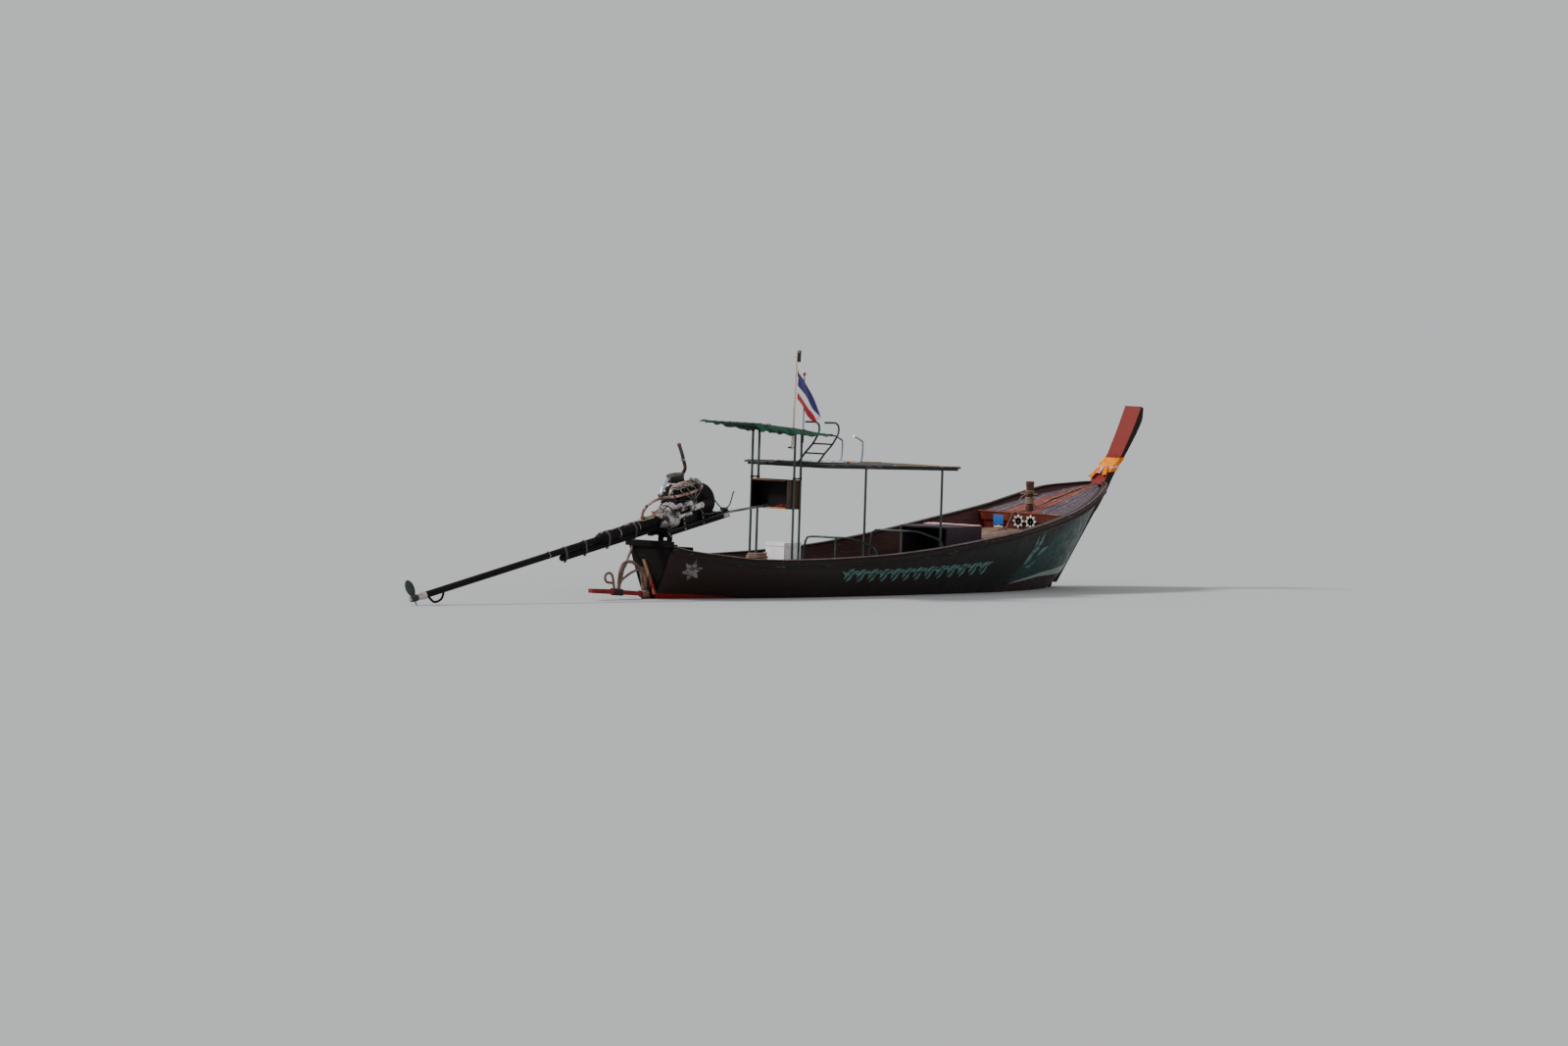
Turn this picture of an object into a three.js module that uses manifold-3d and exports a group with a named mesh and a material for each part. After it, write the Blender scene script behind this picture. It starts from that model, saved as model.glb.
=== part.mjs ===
// Longtail boat: an open wooden hull with a tall stem post, and an engine on a swivel at the
// stern that drives its propeller through a long tube. Millimetres, +X to the bow, +Y to port,
// +Z up. The origin is on the centreline, halfway along the hull, at the water's surface.
import * as THREE from 'three';
import { mergeVertices } from 'three/addons/utils/BufferGeometryUtils.js';
import Module from 'manifold-3d';

const wasm = await Module();
wasm.setup();

// Driving dimensions
const GAP = 0.3;
const PLANK = 28;
const KEEL_HALF = 45;
const BILGE_AT = 0.42;
const TRANSOM_X = -5860;
const DECK_TOP = 770;
const BULKHEAD_X = [2965, 2995];
const FLOOR_Z = -90;
const FOREDECK_Z = 1170;
const PIVOT_X = -5560;
const PIN_Z = 930;
const TAIL_ANGLE = THREE.MathUtils.degToRad(11.3);
const SHAFT_Z = 250;

// Hull stations: x at the keel, rake of the sheer end, half breadth and height of the sheer,
// half breadth and height of the bilge's control point, height of the keel rabbet
const HULL = [
  [-5860, 0, 400, 770, 170, 150, -60],
  [-5540, 0, 500, 700, 290, 80, -105],
  [-5130, 0, 620, 650, 440, 20, -150],
  [-4320, 0, 790, 575, 660, -60, -215],
  [-3600, 0, 890, 560, 800, -120, -265],
  [-2800, 0, 960, 572, 880, -170, -300],
  [-1800, 0, 1030, 605, 950, -215, -325],
  [-800, 0, 1065, 670, 985, -235, -335],
  [200, 0, 1100, 770, 1000, -235, -335],
  [1200, 0, 1130, 895, 985, -215, -325],
  [2000, 0, 1090, 1020, 870, -170, -300],
  [2700, 0, 1000, 1145, 680, -90, -230],
  [3200, 0, 905, 1250, 500, 20, -120],
  [3700, 0, 775, 1390, 320, 300, 140],
  [4200, 0, 560, 1535, 210, 850, 740],
  [4580, 40, 290, 1592, 130, 1300, 1200],
  [4660, 105, 150, 1612, 95, 1454, 1297],
];

const paint = (color, roughness, metalness = 0) => ({ color, roughness, metalness });
const BLACK_PAINT = paint(0x17130f, 0.6);
const RED_PAINT = paint(0x6e2017, 0.6);
const RAIL_WOOD = paint(0x3a1c1e, 0.6);
const BARE_WOOD = paint(0x8a5a34, 0.75);
const DARK_WOOD = paint(0x4a2413, 0.75);
const DARK_STEEL = paint(0x1c1a1b, 0.5, 0.7);
const GREY_STEEL = paint(0x3f4f49, 0.45, 0.6);
const CHROME = paint(0xc8ccd0, 0.15, 1);
const ALLOY = paint(0xb7a8a8, 0.4, 0.9);
const RUST = paint(0x9c6f5e, 0.7, 0.5);
const GREEN_TUBE = paint(0x1f3a38, 0.4, 0.5);
const GREEN_CLOTH = paint(0x1d6b45, 0.9);

const boat = new THREE.Group();
const swivel = new THREE.Group();
const tail = new THREE.Group();
swivel.position.set(PIVOT_X, 0, PIN_Z);
tail.rotation.y = -TAIL_ANGLE;
swivel.add(tail);
boat.add(swivel);

// Shape helpers

function merged(geometry) {
  const bare = geometry.index ? geometry.toNonIndexed() : geometry;
  bare.deleteAttribute('normal');
  bare.deleteAttribute('uv');
  return mergeVertices(bare, 1e-3);
}

function toManifold(geometry) {
  const clean = merged(geometry.clone());
  const mesh = new wasm.Mesh({
    numProp: 3,
    vertProperties: new Float32Array(clean.attributes.position.array),
    triVerts: new Uint32Array(clean.index.array),
  });
  return new wasm.Manifold(mesh);
}

function fromManifold(solid) {
  const mesh = solid.getMesh();
  const geometry = new THREE.BufferGeometry();
  const corners = new Float32Array(mesh.vertProperties);
  geometry.setAttribute('position', new THREE.BufferAttribute(corners, 3));
  geometry.setIndex(new THREE.BufferAttribute(new Uint32Array(mesh.triVerts), 1));
  return geometry;
}

function union(geometries) {
  return fromManifold(geometries.map(toManifold).reduce((all, next) => all.add(next)));
}

function cut(geometry, ...tools) {
  const solid = toManifold(geometry);
  return fromManifold(tools.map(toManifold).reduce((all, tool) => all.subtract(tool), solid));
}

function box([x0, x1], [y0, y1], [z0, z1]) {
  const geometry = new THREE.BoxGeometry(x1 - x0, y1 - y0, z1 - z0);
  return geometry.translate((x0 + x1) / 2, (y0 + y1) / 2, (z0 + z1) / 2);
}

// A straight round bar or tapered cone from one point to another
function rod(from, to, radius, sides = 10, endRadius = radius) {
  const a = new THREE.Vector3(...from);
  const b = new THREE.Vector3(...to);
  const axis = b.clone().sub(a);
  const geometry = new THREE.CylinderGeometry(endRadius, radius, axis.length(), sides);
  geometry.applyQuaternion(
    new THREE.Quaternion().setFromUnitVectors(new THREE.Vector3(0, 1, 0), axis.normalize()));
  return geometry.translate(...a.add(b).multiplyScalar(0.5).toArray());
}

// A round tube bent smoothly through the given points
function bent(points, radius, steps = 16, sides = 8, tension = 0.5) {
  const curve = new THREE.CatmullRomCurve3(
    points.map((p) => new THREE.Vector3(...p)), false, 'catmullrom', tension);
  const section = new THREE.Shape();
  for (let i = 0; i < sides; i++) {
    const angle = (i / sides) * 2 * Math.PI;
    const at = [radius * Math.cos(angle), radius * Math.sin(angle)];
    if (i === 0) section.moveTo(...at);
    else section.lineTo(...at);
  }
  return new THREE.ExtrudeGeometry(section, { steps, extrudePath: curve, bevelEnabled: false });
}

// A plate cut to an outline in the XZ plane, between two Y planes
function sidePlate(outline, y0, y1) {
  const shape = new THREE.Shape(outline.map(([x, z]) => new THREE.Vector2(x, z)));
  const geometry = new THREE.ExtrudeGeometry(shape, { depth: y1 - y0, bevelEnabled: false });
  return geometry.rotateX(Math.PI / 2).translate(0, y1, 0);
}

// A closed solid through matching rings of points, with flat ends
function loft(rings) {
  const count = rings[0].length;
  const position = rings.flat(2);
  const index = [];
  for (let r = 0; r + 1 < rings.length; r++) {
    for (let i = 0; i < count; i++) {
      const a = r * count + i;
      const b = r * count + ((i + 1) % count);
      index.push(a, b, b + count, a, b + count, a + count);
    }
  }
  const outline = rings[0].map(([, y, z]) => new THREE.Vector2(y, z));
  const flat = THREE.ShapeUtils.isClockWise(outline);
  const order = flat ? [...rings[0].keys()].reverse() : [...rings[0].keys()];
  const caps = THREE.ShapeUtils.triangulateShape(order.map((i) => outline[i]), []);
  const last = (rings.length - 1) * count;
  for (const [a, b, c] of caps.map((face) => face.map((i) => order[i]))) {
    const turn = flat ? [a, b, c] : [a, c, b];
    index.push(...turn);
    index.push(last + turn[0], last + turn[2], last + turn[1]);
  }
  const geometry = new THREE.BufferGeometry();
  geometry.setAttribute('position', new THREE.Float32BufferAttribute(position, 3));
  geometry.setIndex(index);
  return outward(geometry);
}

// Turns every face when the solid is inside out
function outward(geometry) {
  const p = geometry.attributes.position;
  const index = geometry.index.array;
  const corner = [0, 1, 2].map(() => new THREE.Vector3());
  let volume = 0;
  for (let i = 0; i < index.length; i += 3) {
    corner.forEach((v, k) => v.fromBufferAttribute(p, index[i + k]));
    volume += corner[0].dot(corner[1].clone().cross(corner[2]));
  }
  if (volume < 0) {
    for (let i = 0; i < index.length; i += 3) {
      [index[i + 1], index[i + 2]] = [index[i + 2], index[i + 1]];
    }
  }
  return geometry;
}

function add(group, name, geometry, look) {
  const mesh = new THREE.Mesh(merged(geometry), new THREE.MeshStandardMaterial(look));
  mesh.name = name;
  group.add(mesh);
}

// Height at x on the straight line through two ends given as { x, z }
const between = ({ x: [x0, x1], z: [z0, z1] }) => (x) => z0 + ((z1 - z0) * (x - x0)) / (x1 - x0);

// Hull form: the section at any station is a curve from the keel rabbet round the bilge to the
// sheer, and stations between two rows of the table lie on straight lines

function stationAt(x) {
  const found = HULL.findIndex((station) => station[0] >= x);
  const row = found < 0 ? HULL.length - 1 : Math.max(found, 1);
  const [a, b] = [HULL[row - 1], HULL[row]];
  const t = Math.min((x - a[0]) / (b[0] - a[0]), 1);
  return a.map((value, i) => value + (b[i] - value) * t);
}

// A point of the section at curve position t, moved inside by the given depth, with the top edge
// of the planking cut level
function hullPoint(station, t, depth = 0) {
  const [x, rake, breadth, sheerZ, bilgeY, bilgeZ, keelZ] = station;
  const q = 1 - t;
  const y = q * q * KEEL_HALF + 2 * q * t * bilgeY + t * t * breadth;
  const z = q * q * keelZ + 2 * q * t * bilgeZ + t * t * sheerZ;
  const dy = 2 * q * (bilgeY - KEEL_HALF) + 2 * t * (breadth - bilgeY);
  const dz = 2 * q * (bilgeZ - keelZ) + 2 * t * (sheerZ - bilgeZ);
  const length = Math.hypot(dy, dz);
  const level = 1 - t ** 8;
  return [x + rake * t, y - (dz / length) * depth, z + (dy / length) * depth * level];
}

// Half breadth inside the hull at a height, at the given depth inside the outer skin
function insideBreadth(x, z, depth) {
  const station = stationAt(x);
  let [low, high] = [0, 1];
  for (let i = 0; i < 30; i++) {
    const middle = (low + high) / 2;
    if (hullPoint(station, middle, depth)[2] < z) low = middle;
    else high = middle;
  }
  return hullPoint(station, low, depth)[1];
}

function steps(from, to, count) {
  return Array.from({ length: count + 1 }, (_, i) => from + ((to - from) * i) / count);
}

function mirrored(points) {
  return points.map(([x, y, z]) => [x, -y, z]);
}

// Where the section's corners lie along its curve: five to the bilge, five more to the sheer
const SECTION_AT = [...steps(0, BILGE_AT, 4), ...steps(BILGE_AT, 1, 5).slice(1)];

// Hull planking in three shells: the bottom to the bilge and the two sides
function hullShells() {
  const half = (station, at, depth) => at.map((t) => hullPoint(station, t, depth));
  const bottomAt = SECTION_AT.slice(0, 5);
  const stations = [...HULL.filter(([x]) => x < BULKHEAD_X[0]), ...BULKHEAD_X.map(stationAt),
    ...HULL.filter(([x]) => x > BULKHEAD_X[1])];
  const bottom = stations.map((station) => {
    const across = (points) => [...mirrored(points).reverse(), ...points];
    const outer = across(half(station, bottomAt, 0));
    return [...outer, ...across(half(station, bottomAt, PLANK)).reverse()];
  });
  add(boat, 'hull_bottom', loft(bottom), BLACK_PAINT);
  const sideAt = [BILGE_AT + 0.0005, ...SECTION_AT.slice(5)];
  const port = stations.map((station) => (
    [...half(station, sideAt, PLANK), ...half(station, sideAt, 0).reverse()]));
  add(boat, 'hull_side_port', loft(port), BLACK_PAINT);
  const starboard = stations.map((station) => (
    mirrored([...half(station, sideAt, 0), ...half(station, sideAt, PLANK).reverse()])));
  add(boat, 'hull_side_starboard', loft(starboard), BLACK_PAINT);
}
hullShells();

// Flat transom closing the stern, set just behind the planking's ends
const TRANSOM_THICK = 45;
const transomRing = (x) => {
  const edge = steps(0, 1, 8).map((t) => hullPoint([x, ...HULL[0].slice(1)], t));
  return [...edge, ...mirrored(edge).reverse()];
};
add(boat, 'transom',
  loft([transomRing(TRANSOM_X - TRANSOM_THICK), transomRing(TRANSOM_X - GAP)]), BLACK_PAINT);

// Keel bar under the bottom: its top follows the rabbet, and behind the stern it carries on as a
// plank just over the water
const KEEL = { half: 40, deep: 75, rise: [3640, 0], rows: 14 };
const PLANK_TOP = [[-7200, 170], [-6700, 152], [-6060, 108]];
const PLANK_LOW = [[-6060, 45], [-7200, 108]];
const STERN_FACE = TRANSOM_X - TRANSOM_THICK;
const plankTopZ = between({ x: [-6700, -6060], z: [152, 108] });
const plankLowZ = between({ x: [-7200, -6060], z: [108, 45] });
const keelRows = HULL.slice(0, KEEL.rows);
const keelTop = keelRows.map(([x, , , , , , z]) => [x, z - GAP]);
const keelLow = keelRows.map(([x, , , , , , z]) => [x, z - KEEL.deep]).reverse();
keelLow[0] = KEEL.rise;
add(boat, 'keel', sidePlate([
  ...PLANK_TOP, [STERN_FACE - GAP, plankTopZ(STERN_FACE)], [STERN_FACE - GAP, keelTop[0][1]],
  ...keelTop, ...keelLow, ...PLANK_LOW,
], -KEEL.half, KEEL.half), RED_PAINT);

// Stem post rows: aft face x and height, front face x and height, half width
const STEM = [
  [3700.4, 139.7, 3785, 70, 42],
  [4200.4, 739.7, 4285, 665, 42],
  [4580.4, 1199.7, 4668, 1128, 46],
  [4660.4, 1296.7, 4760, 1235, 60],
  [4765.4, 1611.7, 4925, 1590, 143],
  [4868, 1752, 5045, 1765, 143],
  [4985, 1880, 5150, 1905, 143],
  [5192, 2051, 5312, 2063, 146],
  [5294, 2205, 5430, 2217, 152],
  [5422, 2405, 5578, 2418, 158],
  [5532, 2600, 5700, 2640, 162],
  [5650, 2818, 5712, 2785, 165],
];
const stemRing = ([x, z, frontX, frontZ, half], swell = 0) => [
  [x - swell, half + swell, z], [frontX + swell, half + swell, frontZ],
  [frontX + swell, -half - swell, frontZ], [x - swell, -half - swell, z]];
add(boat, 'stem_post', loft(STEM.map((row) => stemRing(row))), paint(0x8a3028, 0.6));

// Garland of cloth wound round the stem post: place between two rows of the post, and swell
const GARLAND = [[0, 10], [0.2, 30], [0.55, 42], [0.85, 34], [1, 12]];
const GARLAND_ROWS = [STEM[5], STEM[7]];
const stemBetween = (t) => GARLAND_ROWS[0].map((value, i) => value + (GARLAND_ROWS[1][i] - value) * t);
const garlandCore = STEM.slice(4, 9).map((row) => stemRing(row, 3 * GAP));
add(boat, 'garland', cut(
  loft(GARLAND.map(([t, swell]) => stemRing(stemBetween(t), swell))),
  loft(garlandCore),
), paint(0xf5a417, 0.9));

// Sheer lines: a cap along the top of each side, with two rub rails joined to it outside
const CAP = { inside: 55, thick: 25 };
const RAIL = { deep: 26, out: 30, proud: 4, drops: [4, 74] };
const SKIRT = { y: [6, 16], rise: 5 };
const BOW_END = 4657;
function sheerBand(side, station, y0, y1, z0, z1) {
  const [x, y, z] = hullPoint(station, 1);
  return [[x, side * (y + y0), z + z0], [x, side * (y + y1), z + z0],
    [x, side * (y + y1), z + z1], [x, side * (y + y0), z + z1]];
}
const sheerStations = [...HULL.slice(0, -1), stationAt(BOW_END)];
for (const [name, side] of [['gunwale_port', 1], ['gunwale_starboard', -1]]) {
  const band = (y0, y1, z0, z1) => (
    loft(sheerStations.map((station) => sheerBand(side, station, y0, y1, z0, z1))));
  add(boat, name, union([
    band(-CAP.inside, RAIL.out, GAP, GAP + CAP.thick),
    band(...SKIRT.y, -RAIL.drops[1], GAP + SKIRT.rise),
    ...RAIL.drops.map((drop) => band(SKIRT.y[0], RAIL.out + RAIL.proud, -drop - RAIL.deep, -drop)),
  ]), RAIL_WOOD);
}

// Frames across the hull, tied together by a stringer along each side and a keelson
const RIB = { wide: 45, deep: 48, clear: 7, at: steps(-5000, 2600, 10) };
const STRINGER = { at: [0.82, 0.9], clear: 12, deep: 40, past: 40 };
const RISER = { x: [-2380, 1330], top: 290 - GAP, thick: 40, wide: 270 };
const KEELSON = { half: 26, deep: 45 };
const BEAM_END = { sunk: 8, narrower: 4 };
const WELL_DECK = { x: [1480, 2950], z: [800, 905], thick: 28 };
const wellDeckZ = between(WELL_DECK);
const FLOOR_THICK = 22;
const AFT_DECK = { z: 380, thick: 30 };

// Beams under the decks: height of the board's underside, depth, and the frames that carry one
const DECK_BEAMS = [
  [() => FLOOR_Z - FLOOR_THICK, 45, RIB.at.slice(2, -1)],
  [() => AFT_DECK.z - AFT_DECK.thick, 60, RIB.at.slice(1, 4)],
  [(x) => wellDeckZ(x - RIB.wide / 2) - WELL_DECK.thick, 50, RIB.at.slice(-2)],
];

function rib(x) {
  return loft([x - RIB.wide / 2, x + RIB.wide / 2].map((edge) => {
    const station = stationAt(edge);
    const at = SECTION_AT.slice(0, -1);
    const outer = at.map((t) => hullPoint(station, t, PLANK + RIB.clear));
    const inner = at.map((t) => hullPoint(station, t, PLANK + RIB.deep));
    const ring = [...mirrored(outer).reverse(), ...outer, ...inner.reverse()];
    return [...ring, ...mirrored(inner).reverse().filter((p) => p[1] < 0)];
  }));
}

function stringer(side, xs) {
  return loft(xs.map((x) => {
    const station = stationAt(x);
    const [a, b] = STRINGER.at.map((t) => hullPoint(station, t, PLANK + STRINGER.clear));
    const inner = [[x, b[1] - STRINGER.deep, b[2]], [x, a[1] - STRINGER.deep, a[2]]];
    return [a, b, ...inner].map(([px, y, z]) => [px, side * y, z]);
  }));
}

// Shelf along each side that the backrests and roof posts stand on
function riser(side) {
  const inside = RIB.at.filter((x) => x > RISER.x[0] && x < RISER.x[1]);
  const low = RISER.top - RISER.thick;
  return loft([RISER.x[0], ...inside, RISER.x[1]].map((x) => {
    const y = insideBreadth(x, low, PLANK + RIB.deep - BEAM_END.sunk);
    return [[x, side * (y - RISER.wide), low], [x, side * y, low],
      [x, side * y, RISER.top], [x, side * (y - RISER.wide), RISER.top]];
  }));
}

function deckBeam(x, level, thick) {
  const top = level(x) - GAP;
  const y = insideBreadth(x, top - thick, PLANK + RIB.deep - BEAM_END.sunk);
  const half = RIB.wide / 2 - BEAM_END.narrower;
  return box([x - half, x + half], [-y, y], [top - thick, top]);
}

function hullFrames() {
  const xs = [RIB.at[0] - STRINGER.past, ...RIB.at, RIB.at[RIB.at.length - 1] + STRINGER.past];
  const keelson = loft(xs.map((x) => {
    const low = stationAt(x)[6] + PLANK + 2 * GAP;
    return [[x, -KEELSON.half, low], [x, KEELSON.half, low],
      [x, KEELSON.half, low + KEELSON.deep], [x, -KEELSON.half, low + KEELSON.deep]];
  }));
  add(boat, 'hull_frames', union([
    ...RIB.at.map(rib), stringer(1, xs), stringer(-1, xs),
    ...DECK_BEAMS.flatMap(([level, thick, at]) => at.map((x) => deckBeam(x, level, thick))),
    riser(1), riser(-1), keelson,
  ]), DARK_WOOD);
}
hullFrames();

// Decks: name, x of both ends, height at each, board thickness, gap to the planking, look
const FOREDECK = { x: [BULKHEAD_X[1] + GAP, 4560, 4748], z: [FOREDECK_Z, 1555, 1601], thick: 35 };
const DECKS = [
  ['floorboards', [-4200, 2400], [FLOOR_Z, FLOOR_Z], FLOOR_THICK, 92, DARK_WOOD],
  ['aft_deck', [-4950, -2450], [AFT_DECK.z, AFT_DECK.z], AFT_DECK.thick, 130, DARK_WOOD],
  ['well_deck', WELL_DECK.x, WELL_DECK.z, WELL_DECK.thick, 130, BARE_WOOD],
  ['foredeck', FOREDECK.x, FOREDECK.z, FOREDECK.thick, 70, paint(0x9b5148, 0.7)],
];
for (const [name, ends, heights, thick, inset, look] of DECKS) {
  const last = ends.length - 1;
  const corners = HULL.map((row) => row[0]).filter((x) => x > ends[0] && x < ends[last]);
  const xs = [...new Set([...ends, ...corners])].sort((a, b) => a - b);
  add(boat, name, loft(xs.map((x) => {
    const k = Math.max(1, ends.findIndex((end) => end >= x));
    const t = (x - ends[k - 1]) / (ends[k] - ends[k - 1]);
    const z = heights[k - 1] + (heights[k] - heights[k - 1]) * t;
    const y = insideBreadth(x, z - thick, inset);
    return [[x, -y, z - thick], [x, y, z - thick], [x, y, z], [x, -y, z]];
  })), look);
}

// Stern deck that carries the engine's swivel, with a step down ahead of it: x, height of top
const STERN_DECK = [[TRANSOM_X, DECK_TOP], [-5441, DECK_TOP], [-5440, 660], [-5130, 640]];
const STERN_DECK_LOW = 560;
const STERN_DECK_CLEAR = 6;
add(boat, 'stern_deck', loft(STERN_DECK.map(([x, top]) => {
  const y = insideBreadth(x, STERN_DECK_LOW, PLANK + STERN_DECK_CLEAR);
  return [[x, -y, STERN_DECK_LOW], [x, y, STERN_DECK_LOW], [x, y, top], [x, -y, top]];
})), BLACK_PAINT);

// Bulkhead at the foredeck, with a cap beam along its top
const BULK = { at: 0.93, clear: 6, cap: { ahead: 30, inset: 20, deep: 10, under: 2 } };
const bulkheadRing = (x) => {
  const station = stationAt(x);
  const edge = SECTION_AT.slice(0, -1).map((t) => hullPoint(station, t, PLANK + 2 * GAP));
  edge.push(hullPoint(station, BULK.at, PLANK + BULK.clear));
  return [...edge, ...mirrored(edge).reverse()];
};
const [, bulkY, bulkZ] = hullPoint(stationAt(BULKHEAD_X[0]), BULK.at, PLANK + 2 * GAP);
const bulkHalf = bulkY - BULK.cap.inset;
add(boat, 'bulkhead', union([
  loft(BULKHEAD_X.map(bulkheadRing)),
  box([BULKHEAD_X[0] - BULK.cap.ahead, BULKHEAD_X[1]], [-bulkHalf, bulkHalf],
    [bulkZ - BULK.cap.deep, FOREDECK_Z - BULK.cap.under]),
]), RED_PAINT);

// Benches across the hull: name and x of the aft edge
const BENCH = { z: 330, long: 320, thick: 40, front: [120, 160] };
const BENCHES = [['bench_aft', -1420], ['bench_middle', -640], ['bench_forward', 160]];
for (const [name, x] of BENCHES) {
  const low = BENCH.z - BENCH.thick;
  const board = loft([x, x + BENCH.long].map((at) => {
    const y = insideBreadth(at, low, PLANK + 65);
    return [[at, -y, low], [at, y, low], [at, y, BENCH.z], [at, -y, BENCH.z]];
  }));
  const [aft, fore] = BENCH.front.map((ahead) => x + ahead);
  const half = insideBreadth(aft, FLOOR_Z - FLOOR_THICK, PLANK + 60);
  const front = box([aft, fore], [-half, half], [FLOOR_Z + GAP, low + 20]);
  add(boat, name, union([board, front]), BARE_WOOD);
}

// Pads on two of the benches
const PAD = { inset: 10, half: 620, thick: 70 };
for (const [name, [, x]] of [['pad_aft', BENCHES[0]], ['pad_middle', BENCHES[1]]]) {
  add(boat, name, box([x + PAD.inset, x + BENCH.long - PAD.inset], [-PAD.half, PAD.half],
    [BENCH.z + GAP, BENCH.z + PAD.thick]), paint(0x2b2430, 0.8));
}

// Bent rails behind two benches: name, x and height, each with a stanchion down to the floor
const BACKREST = { radius: 17, sides: 30, foot: [760, 120], stanchion: 130 };
const BACKRESTS = [['backrest_aft', -1460, 820], ['backrest_forward', 125, 900]];
for (const [name, x, top] of BACKRESTS) {
  const [footY, rise] = BACKREST.foot;
  const foot = RISER.top + GAP;
  const arch = bent([
    [x, footY, foot], [x, footY, foot + rise], [x, 725, top - 70], [x, 640, top],
    [x, 200, top + 10], [x, -150, top + 10], [x, -400, top - 40], [x, -640, top - 130],
    [x, -footY, foot + rise], [x, -footY, foot],
  ], BACKREST.radius, BACKREST.sides);
  const stanchion = rod([x, BACKREST.stanchion, top + 10], [x, BACKREST.stanchion, FLOOR_Z + GAP], 14);
  add(boat, name, union([arch, stanchion]), GREY_STEEL);
}

// Platform box ahead of the seats, open at its aft end, with a mat on its front end
const PLATFORM = { x: [490, 1330], half: 465, z: [FLOOR_Z + GAP, 990], wall: 24, sill: 400 };
const PLATFORM_MAT = { x: [1050, 1325], half: 460, thick: 22 };
add(boat, 'platform_box', cut(
  box(PLATFORM.x, [-PLATFORM.half, PLATFORM.half], PLATFORM.z),
  box([PLATFORM.x[0] - 1, PLATFORM.x[1] - PLATFORM.wall],
    [PLATFORM.wall - PLATFORM.half, PLATFORM.half - PLATFORM.wall],
    [PLATFORM.z[0] + PLATFORM.sill, PLATFORM.z[1] - PLATFORM.wall]),
), paint(0x4c3a45, 0.7));
add(boat, 'platform_mat', box(PLATFORM_MAT.x, [-PLATFORM_MAT.half, PLATFORM_MAT.half],
  [PLATFORM.z[1] + GAP, PLATFORM.z[1] + PLATFORM_MAT.thick]), paint(0xf0b9bd, 0.8));

// Cool box on the aft deck, with an overhanging lid
const COOLER = { x: [-3040, -2650], half: 180, z: [AFT_DECK.z + GAP, 790] };
const COOLER_LID = { out: 8, deep: 55, into: 15 };
const lidLow = COOLER.z[1] - COOLER_LID.deep;
add(boat, 'cool_box', union([
  box(COOLER.x, [-COOLER.half, COOLER.half], [COOLER.z[0], lidLow + COOLER_LID.into]),
  box([COOLER.x[0] - COOLER_LID.out, COOLER.x[1] + COOLER_LID.out],
    [-COOLER.half - COOLER_LID.out, COOLER.half + COOLER_LID.out], [lidLow, COOLER.z[1]]),
]), paint(0xefe3e6, 0.4));

// Round mooring post standing on the foredeck, with a bar through it
const BITT = { x: 3085, foot: 1208, radius: 62, top: 1652, bar: { z: 1450, half: 170, radius: 22 } };
add(boat, 'mooring_post', union([
  rod([BITT.x, 0, BITT.foot], [BITT.x, 0, BITT.top], BITT.radius, 16),
  rod([BITT.x, -BITT.bar.half, BITT.bar.z], [BITT.x, BITT.bar.half, BITT.bar.z], BITT.bar.radius),
]), DARK_WOOD);

// Stern fittings: a cross beam on the transom, and a slanting board nailed over it
const STERN_BEAM = { x: [-5945, -5861], half: 440, top: 858 };
add(boat, 'stern_beam', box(STERN_BEAM.x, [-STERN_BEAM.half, STERN_BEAM.half],
  [DECK_TOP + GAP, STERN_BEAM.top]), BLACK_PAINT);
const STERN_BOARD = { thick: 32, half: 26, top: [90, 575], foot: [-140, 70] };
add(boat, 'stern_board', loft([STERN_FACE - STERN_BOARD.thick, STERN_FACE - GAP].map((x) => {
  const { half, top: [topY, topZ], foot: [footY, footZ] } = STERN_BOARD;
  return [[x, topY - half, topZ], [x, topY + half, topZ], [x, footY + half, footZ],
    [x, footY - half, footZ]];
})), paint(0x9a7a66, 0.8));

// Thick rope hoops, joined by the turns of a lashing round the tail plank: radius and route
const LASHING = { x: [-6705, -6505], thick: 12 };
const HOOPS = [
  [22, [[-6575, 0, 148], [-6567, 0, 298], [-6544, 0, 417], [-6493, 0, 517], [-6411, 0, 547],
    [-6300, 0, 546], [-6200, 0, 504], [-6114, 0, 437], [-6069, 0, 363], [-6036, 0, 230],
    [-6032, 0, 150], [-6032, 0, 108.1]]],
  [19, [[-6108, 4, 452], [-6020, 4, 424], [-5968, 4, 324], [-5966, 4, 241], [-5978, 4, 165],
    [-5981, 4, 125], [-5981, 4, 104.4]]],
  [18, [[-6127, -5, 438], [-6294, -5, 394], [-6429, -5, 332], [-6510, -5, 285], [-6552, -5, 220],
    [-6562, -5, 148]]],
  [16, [[-5925, 320, DECK_TOP], [-5925, 320, 745], [-5962, 300, 705], [-6164, 180, 622],
    [-6366, 50, 512], [-6475, 0, 443], [-6514, 0, 333], [-6560, 0, 258]]],
  [15, [[-6670, 0, 155], [-6690, 0, 250], [-6720, 0, 350], [-6780, 0, 392], [-6860, 0, 372],
    [-6882, 0, 315], [-6840, 0, 262], [-6760, 0, 248], [-6700, 0, 238], [-6672, 0, 160]]],
];
function plankSleeve([aft, fore], out, half) {
  return sidePlate([[aft, plankTopZ(aft) + out], [fore, plankTopZ(fore) + out],
    [fore, plankLowZ(fore) - out], [aft, plankLowZ(aft) - out]], -half, half);
}
const lashing = cut(
  plankSleeve(LASHING.x, LASHING.thick, KEEL.half + LASHING.thick),
  plankSleeve([LASHING.x[0] - 1, LASHING.x[1] + 1], GAP, KEEL.half + GAP),
);
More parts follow.
